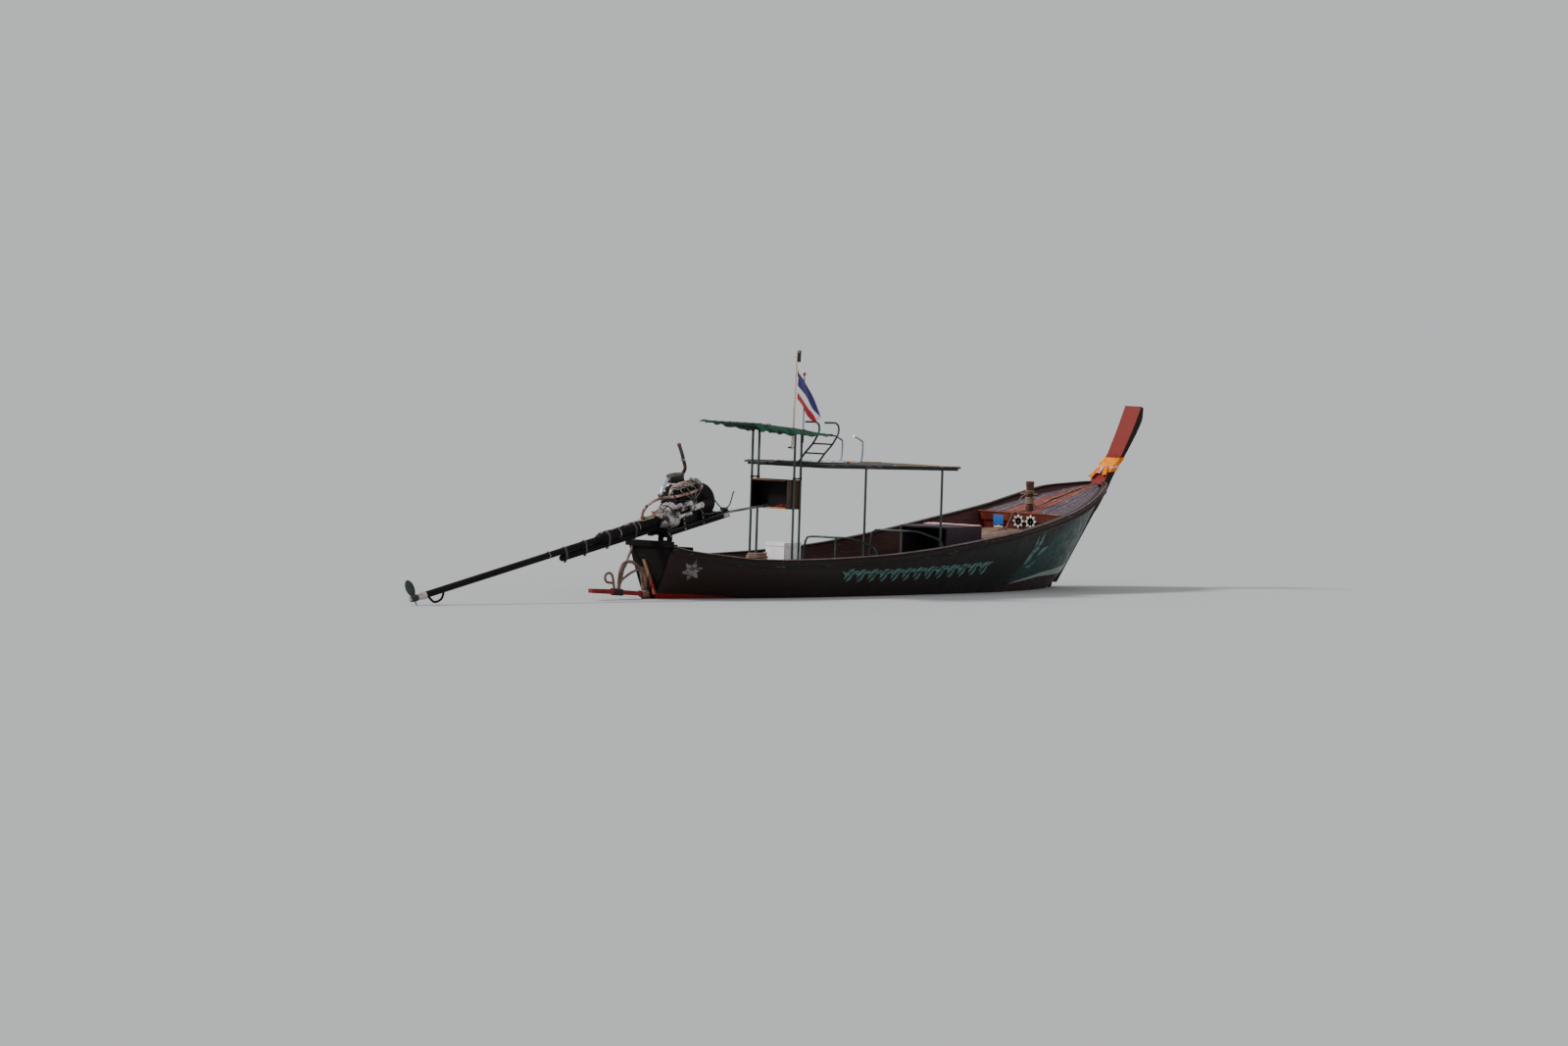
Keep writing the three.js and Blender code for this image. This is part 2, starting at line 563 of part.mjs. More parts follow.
add(boat, 'stern_hoops', union([
  lashing, ...HOOPS.map(([radius, route]) => bent(route, radius, 3 * route.length)),
]), paint(0x7a5648, 0.95));

// Canopy frame round the helm: four posts, two side bars and two cross bars at the top, short
// rails over the cabinet, brackets to the roof's first cross bar, and one to the flagpole's foot
const HELM = { x: [-3135, -2985], y: 414, post: 18, rail: { z: 1760, radius: 12 } };
const TOP_BAR = { z: [2575, 2415], x: [-3980, -2500], y: 640, radius: 14 };
const topBarZ = between(TOP_BAR);
const ROOF = { x: [-2885, 370], y: 790, z: [1962, 1898], thick: 26 };
const roofZ = between(ROOF);
const ROOF_BAR = { x: [-2830, -1900, -950, 0, 340], under: 19, radius: 13 };
const ROOF_BRACKET = { z: roofZ(ROOF_BAR.x[0]) - ROOF_BAR.under, radius: 12 };
const POLE_BRACKET = { x: -3290, z: 2230 };
const frameParts = [];
for (const y of [-HELM.y, HELM.y]) {
  for (const x of HELM.x) {
    frameParts.push(rod([x, y, AFT_DECK.z + GAP], [x, y, topBarZ(x)], HELM.post));
  }
  frameParts.push(
    rod([TOP_BAR.x[0], y, TOP_BAR.z[0]], [TOP_BAR.x[1], y, TOP_BAR.z[1]], TOP_BAR.radius, 8),
    rod([HELM.x[0], y, HELM.rail.z], [HELM.x[1], y, HELM.rail.z], HELM.rail.radius, 8),
    rod([HELM.x[1], y, ROOF_BRACKET.z],
      [ROOF_BAR.x[0] - ROOF_BAR.radius - GAP, y, ROOF_BRACKET.z], ROOF_BRACKET.radius, 8),
  );
}
for (const x of TOP_BAR.x) {
  frameParts.push(rod([x, -TOP_BAR.y, topBarZ(x)], [x, TOP_BAR.y, topBarZ(x)], TOP_BAR.radius, 8));
}
frameParts.push(rod([HELM.x[0], -HELM.y, POLE_BRACKET.z], [POLE_BRACKET.x, -HELM.y, POLE_BRACKET.z],
  TOP_BAR.radius, 8));
add(boat, 'helm_frame', union(frameParts), GREY_STEEL);

// Flagpole beside the side bar, with a lamp and a short arm near its head, and a signal rod
// beside the forward post; both stand up through the canopy
const POLE = { foot: [-3276, -443.3, 2200], head: [-3153, -443.3, 3690], radius: 15 };
const poleX = (z) => POLE.foot[0]
  + ((POLE.head[0] - POLE.foot[0]) * (z - POLE.foot[2])) / (POLE.head[2] - POLE.foot[2]);
const onPole = (z, ahead = 0) => [poleX(z) + ahead, POLE.foot[1], z];
const LAMP = { z: [3560, 3680], radius: 34, arm: { z: 3585, long: 75, radius: 9 } };
add(boat, 'flagpole', union([
  rod(POLE.foot, POLE.head, POLE.radius),
  rod(onPole(LAMP.z[0]), onPole(LAMP.z[1]), LAMP.radius, 12),
  rod(onPole(LAMP.arm.z, -LAMP.arm.long), onPole(LAMP.arm.z), LAMP.arm.radius, 8),
]), paint(0xd8c3a2, 0.6));
const ROD = { foot: [-2985, -441.3, 2300], head: [-3000, -441.3, 3330], radius: 9, ball: 21 };
add(boat, 'signal_rod', union([
  rod(ROD.foot, ROD.head, ROD.radius, 8),
  new THREE.SphereGeometry(ROD.ball, 12, 8).translate(...ROD.head),
]), paint(0xb02a22, 0.5));

// Flag hanging from the pole: its two corners on the pole, then the fly edge
const HOIST_Z = [2960, 3400];
const HOIST_AHEAD = 12.6;
add(boat, 'flag', sidePlate([
  [poleX(HOIST_Z[0]) + HOIST_AHEAD, HOIST_Z[0]], [poleX(HOIST_Z[1]) + HOIST_AHEAD, HOIST_Z[1]],
  [-2970, 3200], [-2800, 2970], [-2605, 2665], [-2660, 2575], [-2800, 2530], [-2960, 2750],
], -460, -452), paint(0xc8283c, 0.9));

// Canopy sheet on the frame's top, with holes for the flagpole and the signal rod
const SHEET = { x: [-4126, -2420], y: 650, thick: 8, hole: 2 };
const sheet = loft(SHEET.x.map((x) => {
  const z = topBarZ(x) + TOP_BAR.radius + 2 * GAP;
  return [[x, -SHEET.y, z], [x, SHEET.y, z], [x, SHEET.y, z + SHEET.thick],
    [x, -SHEET.y, z + SHEET.thick]];
}));
add(boat, 'helm_canopy', cut(sheet, rod(POLE.foot, POLE.head, POLE.radius + SHEET.hole),
  rod(ROD.foot, ROD.head, ROD.radius + SHEET.hole, 8)), GREEN_CLOTH);

// Open cabinet between the posts, facing the stern
const CABINET = { x: [-3170, -2950], half: HELM.y - HELM.post - GAP, z: [1300, 1735], wall: 18 };
add(boat, 'cabinet', cut(
  box(CABINET.x, [-CABINET.half, CABINET.half], CABINET.z),
  box([CABINET.x[0] - 1, CABINET.x[1] - CABINET.wall],
    [CABINET.wall - CABINET.half, CABINET.half - CABINET.wall],
    [CABINET.z[0] + CABINET.wall, CABINET.z[1] - CABINET.wall]),
), BARE_WOOD);

// Long flat roof over the seats on its own frame: two posts, side rails and cross bars
add(boat, 'roof', loft(ROOF.x.map((x) => {
  const z = roofZ(x);
  return [[x, -ROOF.y, z], [x, ROOF.y, z], [x, ROOF.y, z + ROOF.thick], [x, -ROOF.y, z + ROOF.thick]];
})), paint(0x3b3535, 0.7));
const ROOF_POST = { x: -30, y: 750, short: 20 };
const ROOF_RAIL = { x: [-2830, 340], under: 16.5, radius: 16 };
const roofParts = ROOF_BAR.x.map((x) => {
  const z = roofZ(x) - ROOF_BAR.under;
  return rod([x, -ROOF_POST.y, z], [x, ROOF_POST.y, z], ROOF_BAR.radius, 8);
});
for (const y of [-ROOF_POST.y, ROOF_POST.y]) {
  const [aft, fore] = ROOF_RAIL.x.map((x) => [x, y, roofZ(x) - ROOF_RAIL.under]);
  roofParts.push(
    rod([ROOF_POST.x, y, RISER.top + GAP], [ROOF_POST.x, y, roofZ(0) - ROOF_POST.short], HELM.post),
    rod(aft, fore, ROOF_RAIL.radius, 8),
  );
}
add(boat, 'roof_frame', union(roofParts), GREY_STEEL);

// Boarding ladders stowed on the roof: y of both rails, side view of a rail, rungs and radius
function ladder(name, y, profile, rungs, radius, look) {
  const rails = y.map((side) => bent(profile.map(([x, z]) => [x, side, z]), radius, 28, 8, 0.3));
  const bars = rungs.map(([x, z]) => rod([x, y[0], z], [x, y[1], z], radius * 0.8, 8));
  add(boat, name, union([...rails, ...bars]), look);
}
const onRoof = (x, up) => [x, roofZ(x) + ROOF.thick + up];
ladder('ladder_chrome', [-200, 200],
  [onRoof(-2870, 15), onRoof(-1600, 15), onRoof(-1400, 17), onRoof(-1298, 60), [-1280, 2270],
    [-1310, 2312], [-1500, 2385]],
  steps(-2800, -1450, 5).map((x) => onRoof(x, 15)), 14, CHROME);
ladder('ladder_green', [-620, -240],
  [onRoof(-2870, 15.2), onRoof(-2830, 21), [-2690, 2140], [-2512, 2280], [-2382, 2440],
    [-2378, 2550], [-2455, 2600], [-2700, 2605]],
  [onRoof(-2860, 17), [-2690, 2140], [-2512, 2280]], 15, GREEN_TUBE);

// Swivel: a pedestal on the stern deck, and a turning yoke that holds the tail's pin
const PEDESTAL = { radius: 100, top: PIN_Z - 120, plate: [115, 150, 20] };
const YOKE = { base: [-120 + GAP, -80], radius: 95, cheek: [78, 92], wide: 110, z: [-90, 30] };
const PIN = { radius: 14, half: 104 };
const [plateX, plateY, plateThick] = PEDESTAL.plate;
add(boat, 'swivel_seat', union([
  rod([PIVOT_X, 0, DECK_TOP + GAP], [PIVOT_X, 0, PEDESTAL.top], PEDESTAL.radius, 20),
  box([PIVOT_X - plateX, PIVOT_X + plateX], [-plateY, plateY], [DECK_TOP + GAP, DECK_TOP + plateThick]),
]), DARK_STEEL);
const yokeX = [-YOKE.wide / 2, YOKE.wide / 2];
add(swivel, 'swivel_yoke', union([
  rod([0, 0, YOKE.base[0]], [0, 0, YOKE.base[1]], YOKE.radius, 20),
  box(yokeX, YOKE.cheek, YOKE.z),
  box(yokeX, YOKE.cheek.map((y) => -y).reverse(), YOKE.z),
  rod([0, -PIN.half, 0], [0, PIN.half, 0], PIN.radius, 24),
]), DARK_STEEL);

// Tail unit in its own frame: x forward along the shaft's line, the yoke's pin at the origin.
// The cradle is two beams on cross bars, with a boss that the pin goes through
const BEAM = { x: [-160, 1270], y: [135, 185], z: [20, 100], cross: [-140, 200, 720, 1225] };
const BOSS = { radius: 34, half: 72, bore: PIN.radius + 0.8 };
add(tail, 'cradle', union([
  box(BEAM.x, BEAM.y, BEAM.z),
  box(BEAM.x, BEAM.y.map((y) => -y).reverse(), BEAM.z),
  ...BEAM.cross.map((x) => (
    box([x - 25, x + 25], [-BEAM.y[0] - 5, BEAM.y[0] + 5], [BEAM.z[0] + 20, BEAM.z[1] - 5]))),
  cut(union([
    rod([0, -BOSS.half, 0], [0, BOSS.half, 0], BOSS.radius, 16),
    box([-45, 45], [-BOSS.half, BOSS.half], [0, 60]),
    box([-145, 180], [-40, 40], [30, 62]),
    box([-345, -120], [-42, 42], [62, 100.6]),
    box([-145, -120], [-42, 42], [50, 70]),
  ]), rod([0, -BOSS.half - 1, 0], [0, BOSS.half + 1, 0], BOSS.bore, 24)),
]), DARK_STEEL);

// Shaft tube with its sleeve, the stiffening tube under it, their clamps, and the strut that
// keeps the propeller off the bottom
const TUBE = { aft: -5270, radius: 49, sleeve: [-1480, -150], sleeveRadius: 76 };
const STIFFENER = { x: [-2330, -155], z: SHAFT_Z - 101, radius: 48 };
const CLAMP = { x: [-2240, -1800, -1300, -700], wide: 50, half: 62, z: [SHAFT_Z - 160, SHAFT_Z + 70] };
const PIPE = { x: -460, boss: 30, y: -182, radius: 21 };
const STRUT = { bar: 9, thick: 26 };
const strutOutline = [[-5215, SHAFT_Z - 35], [-4835, SHAFT_Z - 35], [-4905, SHAFT_Z - 165],
  [-5085, SHAFT_Z - 200]];
const strutWindow = [[-5140, SHAFT_Z - 60], [-4905, SHAFT_Z - 60], [-4945, SHAFT_Z - 138],
  [-5058, SHAFT_Z - 160]];
add(tail, 'shaft_tube', union([
  rod([TUBE.aft, 0, SHAFT_Z], [TUBE.sleeve[0] + 10, 0, SHAFT_Z], TUBE.radius, 16),
  rod([TUBE.sleeve[0], 0, SHAFT_Z], [TUBE.sleeve[1], 0, SHAFT_Z], TUBE.sleeveRadius, 18),
  rod([PIPE.x, 0, SHAFT_Z], [PIPE.x, 0, SHAFT_Z + 100], PIPE.boss, 12),
  rod([STIFFENER.x[0], 0, STIFFENER.z], [STIFFENER.x[1], 0, STIFFENER.z], STIFFENER.radius, 14),
  ...CLAMP.x.map((x) => (
    box([x - CLAMP.wide / 2, x + CLAMP.wide / 2], [-CLAMP.half, CLAMP.half], CLAMP.z))),
  cut(sidePlate(strutOutline, -STRUT.bar, STRUT.bar),
    sidePlate(strutWindow, -STRUT.bar - 1, STRUT.bar + 1)),
]), DARK_STEEL);
const BEARING = { x: [-5425, TUBE.aft - GAP], radius: [40, 62] };
add(tail, 'end_bearing', rod([BEARING.x[0], 0, SHAFT_Z], [BEARING.x[1], 0, SHAFT_Z],
  BEARING.radius[0], 18, BEARING.radius[1]), ALLOY);

// Engine on the cradle's beams: block with its feet, head and cover, flywheel housing
const BLOCK = { x: [160, 760], half: 165, z: [225, 470], sump: [235, 685, 125, 60], feet: [220, 640] };
const HEAD = { half: 140, top: 600, cover: [85, 590, 680], caps: [712, 22] };
const [sumpAft, sumpFore, sumpHalf, sumpLow] = BLOCK.sump;
add(tail, 'engine_block', union([
  box(BLOCK.x, [-BLOCK.half, BLOCK.half], BLOCK.z),
  box([sumpAft, sumpFore], [-sumpHalf, sumpHalf], [sumpLow, BLOCK.z[0] + 5]),
  ...BLOCK.feet.map((x) => box([x, x + 60], [-180, 180], [BEAM.z[1] + GAP, BLOCK.z[0] + 20])),
]), paint(0x1e1a1a, 0.55, 0.6));
const [coverHalf, coverLow, coverTop] = HEAD.cover;
const [capTop, capRadius] = HEAD.caps;
add(tail, 'engine_head', union([
  box([BLOCK.x[0] + 10, BLOCK.x[1] - 10], [-HEAD.half, HEAD.half], [BLOCK.z[1] + GAP, HEAD.top]),
  box([BLOCK.x[0] + 40, BLOCK.x[1] - 40], [-coverHalf, coverHalf], [coverLow, coverTop]),
  ...steps(230, 690, 3).map((x) => rod([x, 0, coverTop - 10], [x, 0, capTop], capRadius)),
]), paint(0x2b2625, 0.5, 0.6));
add(tail, 'flywheel_housing', union([
  rod([60, 0, SHAFT_Z + 20], [BLOCK.x[0] - GAP, 0, SHAFT_Z + 20], 195, 24),
  rod([TUBE.sleeve[1] + GAP, 0, SHAFT_Z + 10], [70, 0, SHAFT_Z + 10], 120, 20, 170),
]), ALLOY);

// Crank pulley, and the fan in its round cowl on the front of the block
const PULLEY = { x: [775, 808], radius: 72, hub: 40 };
const COWL = { x: [812, 905], z: 360, radius: 240, wall: 14, hub: 30, arm: [815, 833, 17] };
const FAN = { x: [848, 872], blades: 6, tip: 205, wide: 34, root: 20 };
const front = BLOCK.x[1] + GAP;
add(tail, 'front_pulleys', union([
  rod([front, 0, SHAFT_Z], [PULLEY.x[1], 0, SHAFT_Z], PULLEY.hub, 12),
  rod([PULLEY.x[0], 0, SHAFT_Z], [PULLEY.x[1], 0, SHAFT_Z], PULLEY.radius, 24),
]), DARK_STEEL);
const spokes = (count, x0, x1, half, inner, outer) => Array.from({ length: count }, (_, i) => (
  box([x0, x1], [-half, half], [inner, outer])
    .rotateX((i * 2 * Math.PI) / count).translate(0, 0, COWL.z)));
add(tail, 'fan_cowl', union([
  cut(rod([COWL.x[0], 0, COWL.z], [COWL.x[1], 0, COWL.z], COWL.radius, 28),
    rod([COWL.x[0] - 1, 0, COWL.z], [COWL.x[1] + 1, 0, COWL.z], COWL.radius - COWL.wall, 28)),
  rod([front, 0, COWL.z], [FAN.x[1], 0, COWL.z], COWL.hub, 14),
  ...spokes(4, COWL.arm[0], COWL.arm[1], COWL.arm[2], 0, COWL.radius - COWL.wall + 5),
  ...spokes(FAN.blades, FAN.x[0], FAN.x[1], FAN.wide, FAN.root, FAN.tip),
]), DARK_STEEL);
add(tail, 'alternator', union([
  rod([600, -250, 345], [770, -250, 345], 72, 16),
  box([640, 700], [-260, -BLOCK.half - GAP], [325, 365]),
  rod([770, -250, 345], [800, -250, 345], 36, 14),
]), ALLOY);

// Round air cleaner on the head's cover
const CLEANER = { at: [420, 60], radius: 140, z: [capTop + GAP, 832], lid: 20 };
const [cleanerX, cleanerY] = CLEANER.at;
add(tail, 'air_filter', union([
  rod([cleanerX, cleanerY, CLEANER.z[0]], [cleanerX, cleanerY, CLEANER.z[1] - CLEANER.lid],
    CLEANER.radius - 12, 24),
  rod([cleanerX, cleanerY, CLEANER.z[1] - CLEANER.lid - 1], [cleanerX, cleanerY, CLEANER.z[1]],
    CLEANER.radius, 24, CLEANER.radius - 15),
]), paint(0x26221f, 0.5, 0.5));

// Exhaust on the port side: four ports into a manifold, and a bent stack
const MANIFOLD = { y: 215, z: 540, x: [200, 720], radius: 34, port: 24 };
add(tail, 'exhaust', union([
  ...steps(240, 680, 3).map((x) => (
    rod([x, HEAD.half + GAP, MANIFOLD.z], [x, MANIFOLD.y, MANIFOLD.z], MANIFOLD.port))),
  rod([MANIFOLD.x[0], MANIFOLD.y, MANIFOLD.z], [MANIFOLD.x[1], MANIFOLD.y, MANIFOLD.z],
    MANIFOLD.radius, 12),
  bent([[610, MANIFOLD.y, MANIFOLD.z], [622, 210, 660], [680, 150, 775], [706, 105, 850],
    [690, 100, 960], [660, 100, 1100], [616, 100, 1243]], 27, 20, 12),
]), RUST);

// Water pipe from the tube's boss along the engine's starboard side to a flange on the head
const FLANGE = { x: 712, z: 575, out: 26, radius: 32 };
add(tail, 'coolant_pipe', union([
  rod([PIPE.x, 0, SHAFT_Z + 100 + GAP], [PIPE.x, 0, SHAFT_Z + 125], PIPE.boss - 2, 12),
  bent([[PIPE.x, 0, SHAFT_Z + 110], [PIPE.x + 5, -5, 430], [-400, -60, 530], [-260, -120, 590],
    [-80, PIPE.y + 20, 592], [120, PIPE.y, 565], [400, PIPE.y, 552], [600, PIPE.y, 560],
    [690, PIPE.y + 4, 573], [FLANGE.x, -HEAD.half - FLANGE.out + 6, FLANGE.z]], PIPE.radius, 30, 10),
  rod([FLANGE.x, -HEAD.half - GAP, FLANGE.z], [FLANGE.x, -HEAD.half - FLANGE.out, FLANGE.z],
    FLANGE.radius, 14),
]), RUST);

// Tiller from the front of the cradle, with a sleeve at its root and a bright grip, and the
// control levers on the sleeve
const TILLER = { root: [1252.5, 62], sleeve: [1440, 44], neck: [2270, -36], tip: [2371, -46] };
const onTiller = ([x, z]) => [x, 0, z];
add(tail, 'tiller', union([
  rod(onTiller(TILLER.root), onTiller(TILLER.sleeve), 32, 14),
  rod(onTiller(TILLER.root), onTiller(TILLER.neck), 19, 12),
  rod(onTiller(TILLER.neck), onTiller(TILLER.tip), 24, 12),
]), CHROME);
const LEVER_BASE = { x: [1340, 1400], half: 40, z: [86.2, 125] };
add(tail, 'levers', union([
  box(LEVER_BASE.x, [-LEVER_BASE.half, LEVER_BASE.half], LEVER_BASE.z),
  bent([[1350, 20, 115], [1300, 24, 160], [1230, 30, 245], [1167, 34, 330]], 9, 8),
  bent([[1390, -20, 115], [1455, -22, 135], [1505, -28, 200], [1575, -34, 327]], 9, 8),
]), DARK_STEEL);

// Propeller: hub behind the end bearing, with two twisted blades. Blade rings: distance from the
// axis, half width, thickness, pitch in degrees
const PROP = { x: -5490, turn: THREE.MathUtils.degToRad(-22), hub: [-70, BEARING.x[0] - GAP + 5490] };
const BLADE = [
  [18, 36, 16, 62],
  [90, 66, 12, 48],
  [165, 76, 8, 38],
  [225, 64, 6, 32],
  [262, 42, 5, 30],
  [280, 16, 4, 28],
];
function blade(angle) {
  const geometry = loft(BLADE.map(([r, half, thick, pitch]) => {
    const p = THREE.MathUtils.degToRad(pitch);
    const [c, s] = [Math.cos(p), Math.sin(p)];
    const section = [[-half, -thick / 2], [half, -thick / 2], [half, thick / 2], [-half, thick / 2]];
    return section.map(([a, b]) => [r, a * c - b * s, a * s + b * c]);
  }));
  return geometry.rotateY(-Math.PI / 2).rotateX(angle);
}
add(tail, 'propeller', union([
  rod([PROP.hub[0], 0, 0], [PROP.hub[1], 0, 0], 50, 18, 38),
  rod([PROP.hub[0] - 25, 0, 0], [PROP.hub[0] + 5, 0, 0], 24, 12, 30),
  blade(PROP.turn), blade(PROP.turn + Math.PI),
]).translate(PROP.x, 0, SHAFT_Z), paint(0x24352f, 0.4, 0.8));

export default boat;
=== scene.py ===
"""Longtail boat: its looks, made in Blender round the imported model. Lengths are in metres."""
import math

import bmesh
import bpy
import numpy as np
from mathutils import Matrix, Vector
from numpy import array, clip, cos, interp, linspace, pi, sin


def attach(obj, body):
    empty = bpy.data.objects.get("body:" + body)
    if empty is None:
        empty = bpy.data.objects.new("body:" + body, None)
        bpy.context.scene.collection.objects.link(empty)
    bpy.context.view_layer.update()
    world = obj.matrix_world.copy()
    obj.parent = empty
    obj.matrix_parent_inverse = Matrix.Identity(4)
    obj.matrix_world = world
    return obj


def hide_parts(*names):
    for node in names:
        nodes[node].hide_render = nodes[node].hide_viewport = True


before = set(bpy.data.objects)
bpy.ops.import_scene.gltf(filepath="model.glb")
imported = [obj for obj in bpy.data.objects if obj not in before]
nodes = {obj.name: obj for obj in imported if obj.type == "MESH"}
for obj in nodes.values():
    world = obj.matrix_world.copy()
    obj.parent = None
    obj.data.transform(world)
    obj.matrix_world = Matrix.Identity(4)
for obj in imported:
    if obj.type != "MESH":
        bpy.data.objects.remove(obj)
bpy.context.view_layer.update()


# Camera: a long lens from the starboard quarter, a little above the canopy. The boat is heeled two
# degrees towards it, so the view is worked out level and then turned with the hull.
VIEW_TURN, HEEL, PITCH, ROLL = (math.radians(a) for a in (50.0, 2.0, 1.098, 0.21))
VIEW_LENS, VIEW_FAR, VIEW_HEIGHT, VIEW_MIDDLE = 187.3, 122.4, 3.42, -2.8

upright = Matrix.Rotation(-HEEL, 3, "X")
ahead = Vector((sin(VIEW_TURN), cos(VIEW_TURN), 0))
level_right = Vector((ahead.y, -ahead.x, 0))
sight = ahead * cos(PITCH) - Vector((0, 0, sin(PITCH)))
level_up = level_right.cross(sight)
side = level_right * cos(ROLL) + level_up * sin(ROLL)
scene = bpy.context.scene
camera = bpy.data.objects.new("camera", bpy.data.cameras.new("camera"))
scene.collection.objects.link(camera)
facing = Matrix([upright @ side, upright @ side.cross(sight), upright @ -sight]).transposed()
eye = upright @ (Vector((VIEW_MIDDLE, 0, VIEW_HEIGHT)) - ahead * VIEW_FAR)
camera.matrix_world = Matrix.Translation(eye) @ facing.to_4x4()
camera.data.sensor_width, camera.data.lens = 36.0, VIEW_LENS
camera.data.clip_start, camera.data.clip_end = 1.0, 4000.0
scene.camera = camera


# Floor and light: a pale floor at the waterline, a broad soft sun from the port quarter, which
# lights the boat's after faces and leaves her starboard side in shade, and an even pale sky.
# The floor's shade is worked out so that sun and sky make it as bright as the sky: no horizon.
FLOOR_HALF = 1500.0
SUN_FROM, SUN_POWER, SUN_SOFT = Vector((-0.75, 0.62, 0.85)).normalized(), 3.0, math.radians(11)
SKY = array([0.6, 0.61, 0.62])


def linear(code):
    """Linear colour of an sRGB hex: ((c + 0.055) / 1.055) ** 2.4, and c / 12.92 near black."""
    c = array([int(code[i:i + 2], 16) for i in (1, 3, 5)]) / 255
    made = np.where(c > 0.04045, ((c + 0.055) / 1.055) ** 2.4, c / 12.92)
    return (*map(float, made), 1.0)


def finish_of(name):
    """A new material, and the function that adds a node to it."""
    material = bpy.data.materials.new(name)
    material.use_nodes = True
    tree = material.node_tree
    tree.nodes.clear()
    surface = tree.nodes.new("ShaderNodeOutputMaterial").inputs[0]

    def add(kind, inputs=(), out=0, **settings):
        """Adds one node with its settings and gives each input its link, its value or the linear
        colour of its hex. Gives back one output, in a mix of colours the third one. A shader goes
        on to the material's surface."""
        made = tree.nodes.new("ShaderNode" + kind)
        if kind == "Mix":
            made.data_type, out = "RGBA", 2
        for key, value in settings.items():
            setattr(made, key, value)
        for key, value in dict(inputs).items():
            if isinstance(value, bpy.types.NodeSocket):
                tree.links.new(value, made.inputs[key])
            else:
                made.inputs[key].default_value = linear(value) if isinstance(value, str) else value
        if made.outputs[out].type == "SHADER":
            tree.links.new(made.outputs[out], surface)
        return made.outputs[out]
    return material, add


floor_paper, add = finish_of("matt_paper")
floor_shade = SKY / (SKY + SUN_POWER * SUN_FROM.z / pi)
add("BsdfDiffuse", {"Color": (*map(float, floor_shade), 1.0)})
floor_mesh = bpy.data.meshes.new("floor")
floor_mesh.from_pydata([(x * FLOOR_HALF, y * FLOOR_HALF, 0)
        for x, y in ((-1, -1), (1, -1), (1, 1), (-1, 1))], [], [(0, 1, 2, 3)])
floor_mesh.materials.append(floor_paper)
floor = bpy.data.objects.new("floor", floor_mesh)
scene.collection.objects.link(floor)

sun = bpy.data.objects.new("sun", bpy.data.lights.new("sun", "SUN"))
sun.data.energy, sun.data.angle = SUN_POWER, SUN_SOFT
sun.rotation_mode = "QUATERNION"
sun.rotation_quaternion = SUN_FROM.to_track_quat("Z", "Y")
scene.collection.objects.link(sun)

sky = bpy.data.worlds.new("sky")
sky.use_nodes = True
sky.node_tree.nodes["Background"].inputs["Color"].default_value = (*map(float, SKY), 1.0)
scene.world = sky


# Hull planking: fore-and-aft planks 28 mm thick, smooth outside, in three shells as the model has
# them. Outside they carry dark gloss paint over red bottom paint, with a pale boot stripe and a
# blue-green field that widen towards the bow, and inside they are oiled.
# Stations: x, rake of the section, breadth, sheer height, bilge breadth and height, keel height.
STATIONS = array([[-5.86, 0, 0.4, 0.77, 0.17, 0.15, -0.06],
        [-5.54, 0, 0.5, 0.7, 0.29, 0.08, -0.105], [-5.13, 0, 0.62, 0.65, 0.44, 0.02, -0.15],
        [-4.32, 0, 0.79, 0.575, 0.66, -0.06, -0.215], [-3.6, 0, 0.89, 0.56, 0.8, -0.12, -0.265],
        [-2.8, 0, 0.96, 0.572, 0.88, -0.17, -0.3], [-1.8, 0, 1.03, 0.605, 0.95, -0.215, -0.325],
        [-0.8, 0, 1.065, 0.67, 0.985, -0.235, -0.335], [0.2, 0, 1.1, 0.77, 1.0, -0.235, -0.335],
        [1.2, 0, 1.13, 0.895, 0.985, -0.215, -0.325], [2.0, 0, 1.09, 1.02, 0.87, -0.17, -0.3],
        [2.7, 0, 1.0, 1.145, 0.68, -0.09, -0.23], [3.2, 0, 0.905, 1.25, 0.5, 0.02, -0.12],
        [3.7, 0, 0.775, 1.39, 0.32, 0.3, 0.14], [4.2, 0, 0.56, 1.535, 0.21, 0.85, 0.74],
        [4.58, 0.04, 0.29, 1.592, 0.13, 1.3, 1.2],
        [4.66, 0.105, 0.15, 1.612, 0.095, 1.454, 1.297]])
KEEL_HALF, PLANK, BILGE_AT, STRAKE = 0.045, 0.028, 0.42, 0.13


def between(x, known_x, known):
    """Monotone cubic through the known points: Hermite pieces with slopes from harmonic means."""
    known_x, known = np.asarray(known_x, float), np.asarray(known, float)
    step = np.diff(known_x)
    rise = np.diff(known, axis=0) / (step[:, None] if known.ndim == 2 else step)
    slope = np.zeros_like(known)
    slope[0], slope[-1] = rise[0], rise[-1]
    same = rise[1:] * rise[:-1] > 0
    total = np.where(same, rise[1:] + rise[:-1], 1)
    slope[1:-1] = np.where(same, 2 * rise[1:] * rise[:-1] / total, 0)
    x = np.asarray(x, float)
    i = clip(np.searchsorted(known_x, x, "right") - 1, 0, len(step) - 1)
    h = step[i]
    t = clip((x - known_x[i]) / h, 0, 1)
    if known.ndim == 2:
        h, t = h[..., None], t[..., None]
    return (known[i] * (1 + 2 * t) * (1 - t) ** 2 + known[i + 1] * t * t * (3 - 2 * t)
        + h * (slope[i] * t * (1 - t) ** 2 - slope[i + 1] * t * t * (1 - t)))


def xyz(x, y, z):
    """Points from three coordinates, each a number or an array."""
    return np.stack(np.broadcast_arrays(x, y, z), -1)


